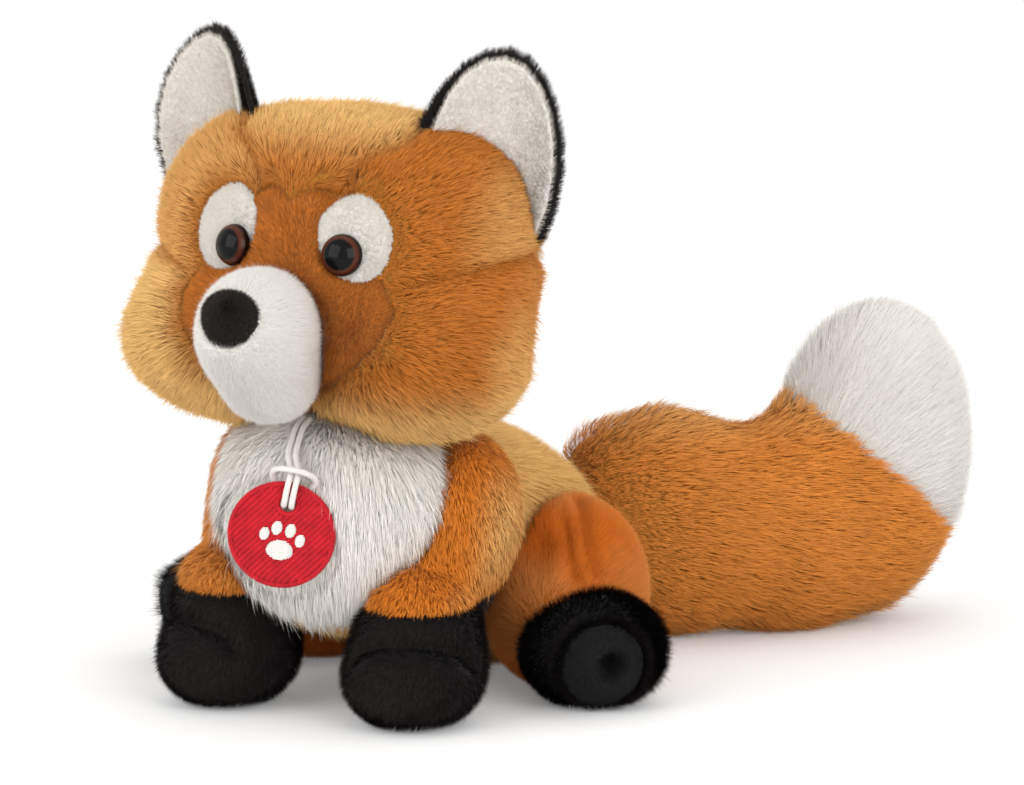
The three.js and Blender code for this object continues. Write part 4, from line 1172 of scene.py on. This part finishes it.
class FOX_OT_ears(bpy.types.Operator):
    """Black backs and white linings of the ears"""

    bl_idname = "fox.ears"
    bl_label = "Ears"

    def execute(self, context):
        pile = context.scene.fox_pile
        for side, s in SIDES:
            root = (s * 0.050, -0.086, 0.172)
            for kind, slot, material in (("back", "black_pile", black_pile()), ("lining", "white_pile", cream_pile())):
                node = f"ear_{kind}_{side}"
                cloth = remeshed(node, node + "_cloth", 0.8 * MM, 6)
                shape_ear(cloth, s, kind == "back")
                triangulated(cloth)
                shown = bare(cloth, [node], 3.2 * MM)
                grow_pile(node + "_pile", cloth, shown, combed(root, (s * 0.1, 0, 0.1)),
                          pile.ear * (1.0 if kind == "back" else 0.8), material, "head", slot, density=1.6, width=0.85,
                          bunch=12 if kind == "back" else 0,
                          straight=42 if kind == "back" else 34)
                finish_piece(cloth, backing(slot), "head", slot, [node])
        return {"FINISHED"}


TRUNK_NODES = ["torso_skin", "bib"]


class FOX_OT_trunk(bpy.types.Operator):
    """Body and bib"""

    bl_idname = "fox.trunk"
    bl_label = "Body and bib"

    def execute(self, context):
        pile = context.scene.fox_pile
        form = sewn_form("trunk_form", TRUNK_NODES + ["body_stuffing"], (0, -0.036, 0.054), rounding=14)
        ways = share_out(form, TRUNK_NODES)
        middles = middles_of(form.data)
        front = (middles[:, 1] < -0.085) & (middles[:, 2] > 0.036)
        ways[:, 1] -= np.where(front, 7 * MM, 0)
        owner = ways.argmin(1)
        sink_skin(form, owner, [1.5 * MM, 1 * MM])
        draw_in_seams(form, owner)
        shown = bare(form, TRUNK_NODES + ["body_stuffing"], 2 * MM)
        cut_panel(form, "body_cloth", owner == 0, backing("golden_pile"), "trunk",
                  "golden_pile", ["torso_skin"])
        cut_panel(form, "bib_cloth", owner == 1, backing("white_pile"), "trunk",
                  "white_pile", ["bib"])
        # pale paints the body lighter higher up: painted light on the back that faces the lamps.
        grow_pile("body_pile", form, (owner == 0) & shown & above_floor(form, 0.002),
                  combed((0, -0.09, 0.14), (0, 0.1, -0.8)), pile.torso, golden(), "trunk", "golden_pile",
                  density=0.75, width=1.3, straight=34, pale=lambda p: 0.15 + 0.7 * rise(58, 88, p[:, 2]))
        grow_pile("bib_pile", form, (owner == 1) & shown, combed((0, -0.09, 0.13), (0, -0.05, -0.75)), pile.bib,
                  white_pile(), "trunk", "white_pile", density=1.3, width=0.95, stand=(48, 18), bunch=20, gather=0.3,
                  taper=lambda p: np.where(behind_tag(p), 0.6, 1.0))
        bpy.data.objects.remove(form)
        return {"FINISHED"}


def behind_tag(points):
    """Which points lie behind the tag."""
    flat = (points - np.array(TAG_MIDDLE)) @ np.array(TAG_TURN)
    return np.hypot(flat[:, 0], flat[:, 2]) < TAG_RADIUS + 2 * MM


ANKLE_FOLD = [(22.9, -118.3, 24.6), (25.2, -118.2, 27.9), (35.6, -119.6, 31.3), (47.6, -115.9, 31.9),
              (56.4, -106.2, 28.6), (58.8, -97.1, 22.1)]
THIGH_DARTS = [
    [(51, -16.7, 63.2), (61, -31, 57.7), (66.5, -36.6, 50), (70, -38.1, 43.1)],
    [(54.7, -33.5, 60.3), (61.4, -42.6, 50.6), (66.1, -44.9, 41.9)],
]


class FOX_OT_front_legs(bpy.types.Operator):
    """Front legs and black paws"""

    bl_idname = "fox.front_legs"
    bl_label = "Front legs and paws"

    def execute(self, context):
        pile = context.scene.fox_pile
        for side, s in SIDES:
            nodes = ["front_leg_" + side, "front_paw_" + side]
            form = sewn_form("front_form", nodes, (s * 0.036, -0.095, 0.032), rounding=22)
            owner = share_out(form, nodes).argmin(1)
            sink_skin(form, owner, [1.4 * MM, 0.8 * MM])
            draw_in_folds(form, [[(s * x, y, z) for x, y, z in ANKLE_FOLD]], 2.6, 3.4)
            seams = draw_in_seams(form, owner, 1 * MM)
            shown = bare(form, nodes, 4 * MM)
            for k, (part, slot, material) in enumerate((("leg", "rust_pile", lit_russet()),
                                                        ("paw", "black_pile", black_pile()))):
                node = f"front_{part}_{side}"
                cut_panel(form, node + "_cloth", owner == k, backing(slot),
                          "trunk", slot, [node])
                if k == 0:
                    # pale paints the leg lighter outward and the right leg lighter all over: painted sheen. Near the
                    # seams the pile is darker: painted shade.
                    grow_pile(node + "_pile", form, (owner == k) & shown, combed((s * 0.036, -0.075, 0.12),
                              (0, -0.1, -0.8)), pile.leg, material, "trunk", slot, stand=(50, 22), seams=seams,
                              seam_trim_and_shade=(0.6, 0.9), pale=lambda p: rise(47, 58, np.abs(p[:, 0]))
                              + (0 if s > 0 else 0.2))
                else:
                    grow_pile(node + "_pile", form, (owner == k) & shown & above_floor(form),
                              combed((s * 0.036, -0.085, 0.05), (0, -0.4, -0.3)), pile.paw, material, "trunk", slot,
                              density=1.4, width=0.95, straight=52)
            bpy.data.objects.remove(form)
        return {"FINISHED"}


class FOX_OT_hind_legs(bpy.types.Operator):
    """Thighs, feet and smooth soles"""

    bl_idname = "fox.hind_legs"
    bl_label = "Hind legs"

    def execute(self, context):
        pile, colours = context.scene.fox_pile, context.scene.fox_colours
        rust = pile_material("Thigh pile", toned(colours.thigh, 0.55), colours.thigh,
                             toned(colours.thigh, 1.2), 0.35, sheen=0.6, light=toned(colours.gold, 0.85))
        for side, s in SIDES:
            node = "thigh_" + side
            form = sewn_form(node + "_cloth", [node], (s * 0.052, -0.018, 0.030), rounding=30)
            sink_skin(form, np.zeros(len(form.data.polygons), int), [0.8 * MM])
            press(form, (s * 51, -47, 52), (0, 5, -2), 10)
            darts = draw_in_folds(form, [[(s * x, y, z) for x, y, z in dart] for dart in THIGH_DARTS], 2.6, 3)
            shown = bare(form, [node], 1 * MM)
            outer = s * middles_of(form.data)[:, 0] > 0.034
            # pale paints the thigh lighter outward and high up, a painted highlight on its rim, and lighter towards
            # the front, painted light in the shade beside the body. Along the darts the pile is darker: painted shade.
            grow_pile(node + "_pile", form, shown & above_floor(form) & outer,
                      combed((s * 0.060, -0.075, 0.015), (s * 0.25, 0.1, 0.3)),
                      pile.thigh, rust, "trunk", "rust_pile", density=1.35, width=1, straight=42,
                      seams=darts, seam_trim_and_shade=(0.7, 0.5), pale=lambda p: 0.2 * rise(66, 75, np.abs(p[:, 0]))
                      + 0.3 * rise(57, 66, p[:, 2]) + 0.35 * rise(38, 54, -p[:, 1]))
            finish_piece(form, backing("rust_pile"), "trunk", "rust_pile", [node])

            nodes = ["hind_foot_" + side, "hind_sole_" + side]
            form = sewn_form("foot_form", nodes, (s * 0.071, -0.044, 0.019), rounding=24)
            owner = share_out(form, nodes).argmin(1)
            press(form, (s * 85, -60.5, 19), (s * 2.2, -2.4, 0), 11)
            press(form, (s * 88.8, -59.4, 17.2), (-s * 9.5, 10.5, 1), 4.4)
            seams = draw_in_seams(form, owner, 0.5 * MM)
            shown = bare(form, nodes, 4 * MM)
            cut_panel(form, f"hind_foot_{side}_cloth", owner == 0, backing("black_pile"),
                      "trunk", "black_pile", [nodes[0]])
            cut_panel(form, f"hind_sole_{side}_cloth", owner == 1,
                      cloth_material("Sole cloth", colours.sole, 0.85, 1500.0, 0.3, 0.1), "trunk", "sole_cloth",
                      [nodes[1]], 1.4 * MM)
            # Tips twice as light as the sole: painted sheen on the velour.
            velour = pile_material("Sole velour", toned(colours.sole, 0.7), colours.sole,
                                   toned(colours.sole, 2), 0.7, sheen=0.15)
            edge = seams[triangles_of(form.data)].mean(1) < 2.6 * MM
            grow_pile(f"hind_foot_{side}_pile", form, ((owner == 0) | edge) & shown & above_floor(form),
                      combed((s * 0.091, -0.063, 0.017), (0, 0, 0), -1.0), pile.paw, black_pile(), "trunk",
                      "black_pile", density=1.7, width=0.9, straight=55,
                      taper=lambda p: 1 + 0.7 * rise(80, 90, np.abs(p[:, 0])))
            grow_pile(f"hind_sole_{side}_velour", form, (owner == 1) & shown & above_floor(form),
                      combed((s * 0.071, -0.044, 0.05), (0, 0, -0.4)), 1.5 * MM, velour, "trunk", "sole_cloth",
                      density=2.4, width=0.9, bunch=10, gather=0.4, wander=0.5, straight=40)
            bpy.data.objects.remove(form)
        return {"FINISHED"}


class FOX_OT_tail(bpy.types.Operator):
    """Bushy tail and its white end"""

    bl_idname = "fox.tail"
    bl_label = "Tail"

    def execute(self, context):
        pile = context.scene.fox_pile
        nodes = ["tail_skin", "tail_tip"]
        form = sewn_form("tail_form", nodes + ["tail_stuffing"], (0.0681, 0.0991, 0.042), (1.1, 1.1, 1),
                         rounding=12)
        owner = share_out(form, nodes).argmin(1)
        sink_skin(form, owner, [1.6 * MM, 0.3 * MM])
        press(form, (43, 47, 80), (0, 0, -3.5), 15)
        press(form, (10, 46, 62), (-3, 0, 8), 13)
        draw_in_seams(form, owner, 0.8 * MM)
        shown = bare(form, nodes + ["tail_stuffing"], 4 * MM)
        cut_panel(form, "tail_cloth", owner == 0, backing("russet_pile"), "tail",
                  "russet_pile", ["tail_skin"])
        cut_panel(form, "tail_tip_cloth", owner == 1, backing("white_pile"), "tail",
                  "white_pile", ["tail_tip"])
        clear = lambda p: np.clip((np.linalg.norm(p - np.array((0.0241, 0.0541, 0.037)), axis=1) - 0.018) / 0.02,
                                  0.45, 1)
        # pale paints the tail lighter higher up: painted light on its top.
        grow_pile("tail_pile", form, (owner == 0) & shown & above_floor(form),
                  combed((-0.11, -0.03, 0.075), (0.3, 0.2, 0)), pile.tail, lit_russet(), "tail",
                  "russet_pile", density=0.66, width=1.2, bunch=12, gather=0.28,
                  pale=lambda p: 0.15 + 0.45 * rise(62, 80, p[:, 2]),
                  taper=lambda p: clear(p) * (1 + 0.6 * np.exp(-((np.linalg.norm(p - np.array((0.008, 0.048, 0.066)),
                                                                               axis=1) / 0.016) ** 2))))
        grow_pile("tail_tip_pile", form, (owner == 1) & shown & above_floor(form),
                  combed((0.03, 0.06, -0.01), (0.1, 0.15, 0.2)), pile.tip, white_pile(), "tail", "white_pile",
                  density=1.2, straight=36)
        bpy.data.objects.remove(form)
        return {"FINISHED"}


class FOX_OT_inside(bpy.types.Operator):
    """Soft filling inside the skins, and the eye washers"""

    bl_idname = "fox.inside"
    bl_label = "Filling and washers"

    def execute(self, context):
        fibre = cloth_material("Filling fibre", (0.8, 0.8, 0.78), 0.9, 700.0, 0.5)
        plastic = flecked_material("Washer plastic", 0.4, 0.5, (0.6, 0.6, 0.6, 1), (0.75, 0.75, 0.75, 1), 500.0)
        for node, body in (("head_stuffing", "head"), ("body_stuffing", "trunk"), ("tail_stuffing", "tail")):
            filling = remeshed(node, node.replace("stuffing", "filling"), 3.5 * MM, 12)
            move_points(filling.data, points_of(filling.data) - normals_of(filling.data) * 3.5 * MM)
            finish_piece(filling, fibre, body, "filling", [node])
        for side, _ in SIDES:
            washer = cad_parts["eye_washer_" + side].data
            washer.materials.clear()
            washer.materials.append(plastic)
        return {"FINISHED"}


class FOX_PT_panel(bpy.types.Panel):
    """Steps of making the fox"""

    bl_idname = "FOX_PT_panel"
    bl_label = "Plush fox"
    bl_space_type = "VIEW_3D"
    bl_region_type = "UI"
    bl_category = "Plush fox"

    def draw(self, context):
        for step in STEPS:
            self.layout.operator(step.bl_idname)
        for group in (context.scene.fox_pile, context.scene.fox_colours):
            box = self.layout.box()
            for key in group.bl_rna.properties.keys():
                if key not in ("rna_type", "name"):
                    box.prop(group, key)


STEPS = (FOX_OT_stage, FOX_OT_tag, FOX_OT_head, FOX_OT_face, FOX_OT_ears, FOX_OT_trunk, FOX_OT_front_legs,
         FOX_OT_hind_legs, FOX_OT_tail, FOX_OT_inside)
CLASSES = (FoxPile, FoxColours, *STEPS, FOX_PT_panel)


def register():
    for each in CLASSES:
        bpy.utils.register_class(each)
    bpy.types.Scene.fox_pile = PointerProperty(type=FoxPile)
    bpy.types.Scene.fox_colours = PointerProperty(type=FoxColours)


def unregister():
    del bpy.types.Scene.fox_pile
    del bpy.types.Scene.fox_colours
    for each in reversed(CLASSES):
        bpy.utils.unregister_class(each)


def main():
    register()
    for step in STEPS:
        group, name = step.bl_idname.split(".")
        getattr(getattr(bpy.ops, group), name)()


if __name__ == "__main__":
    main()
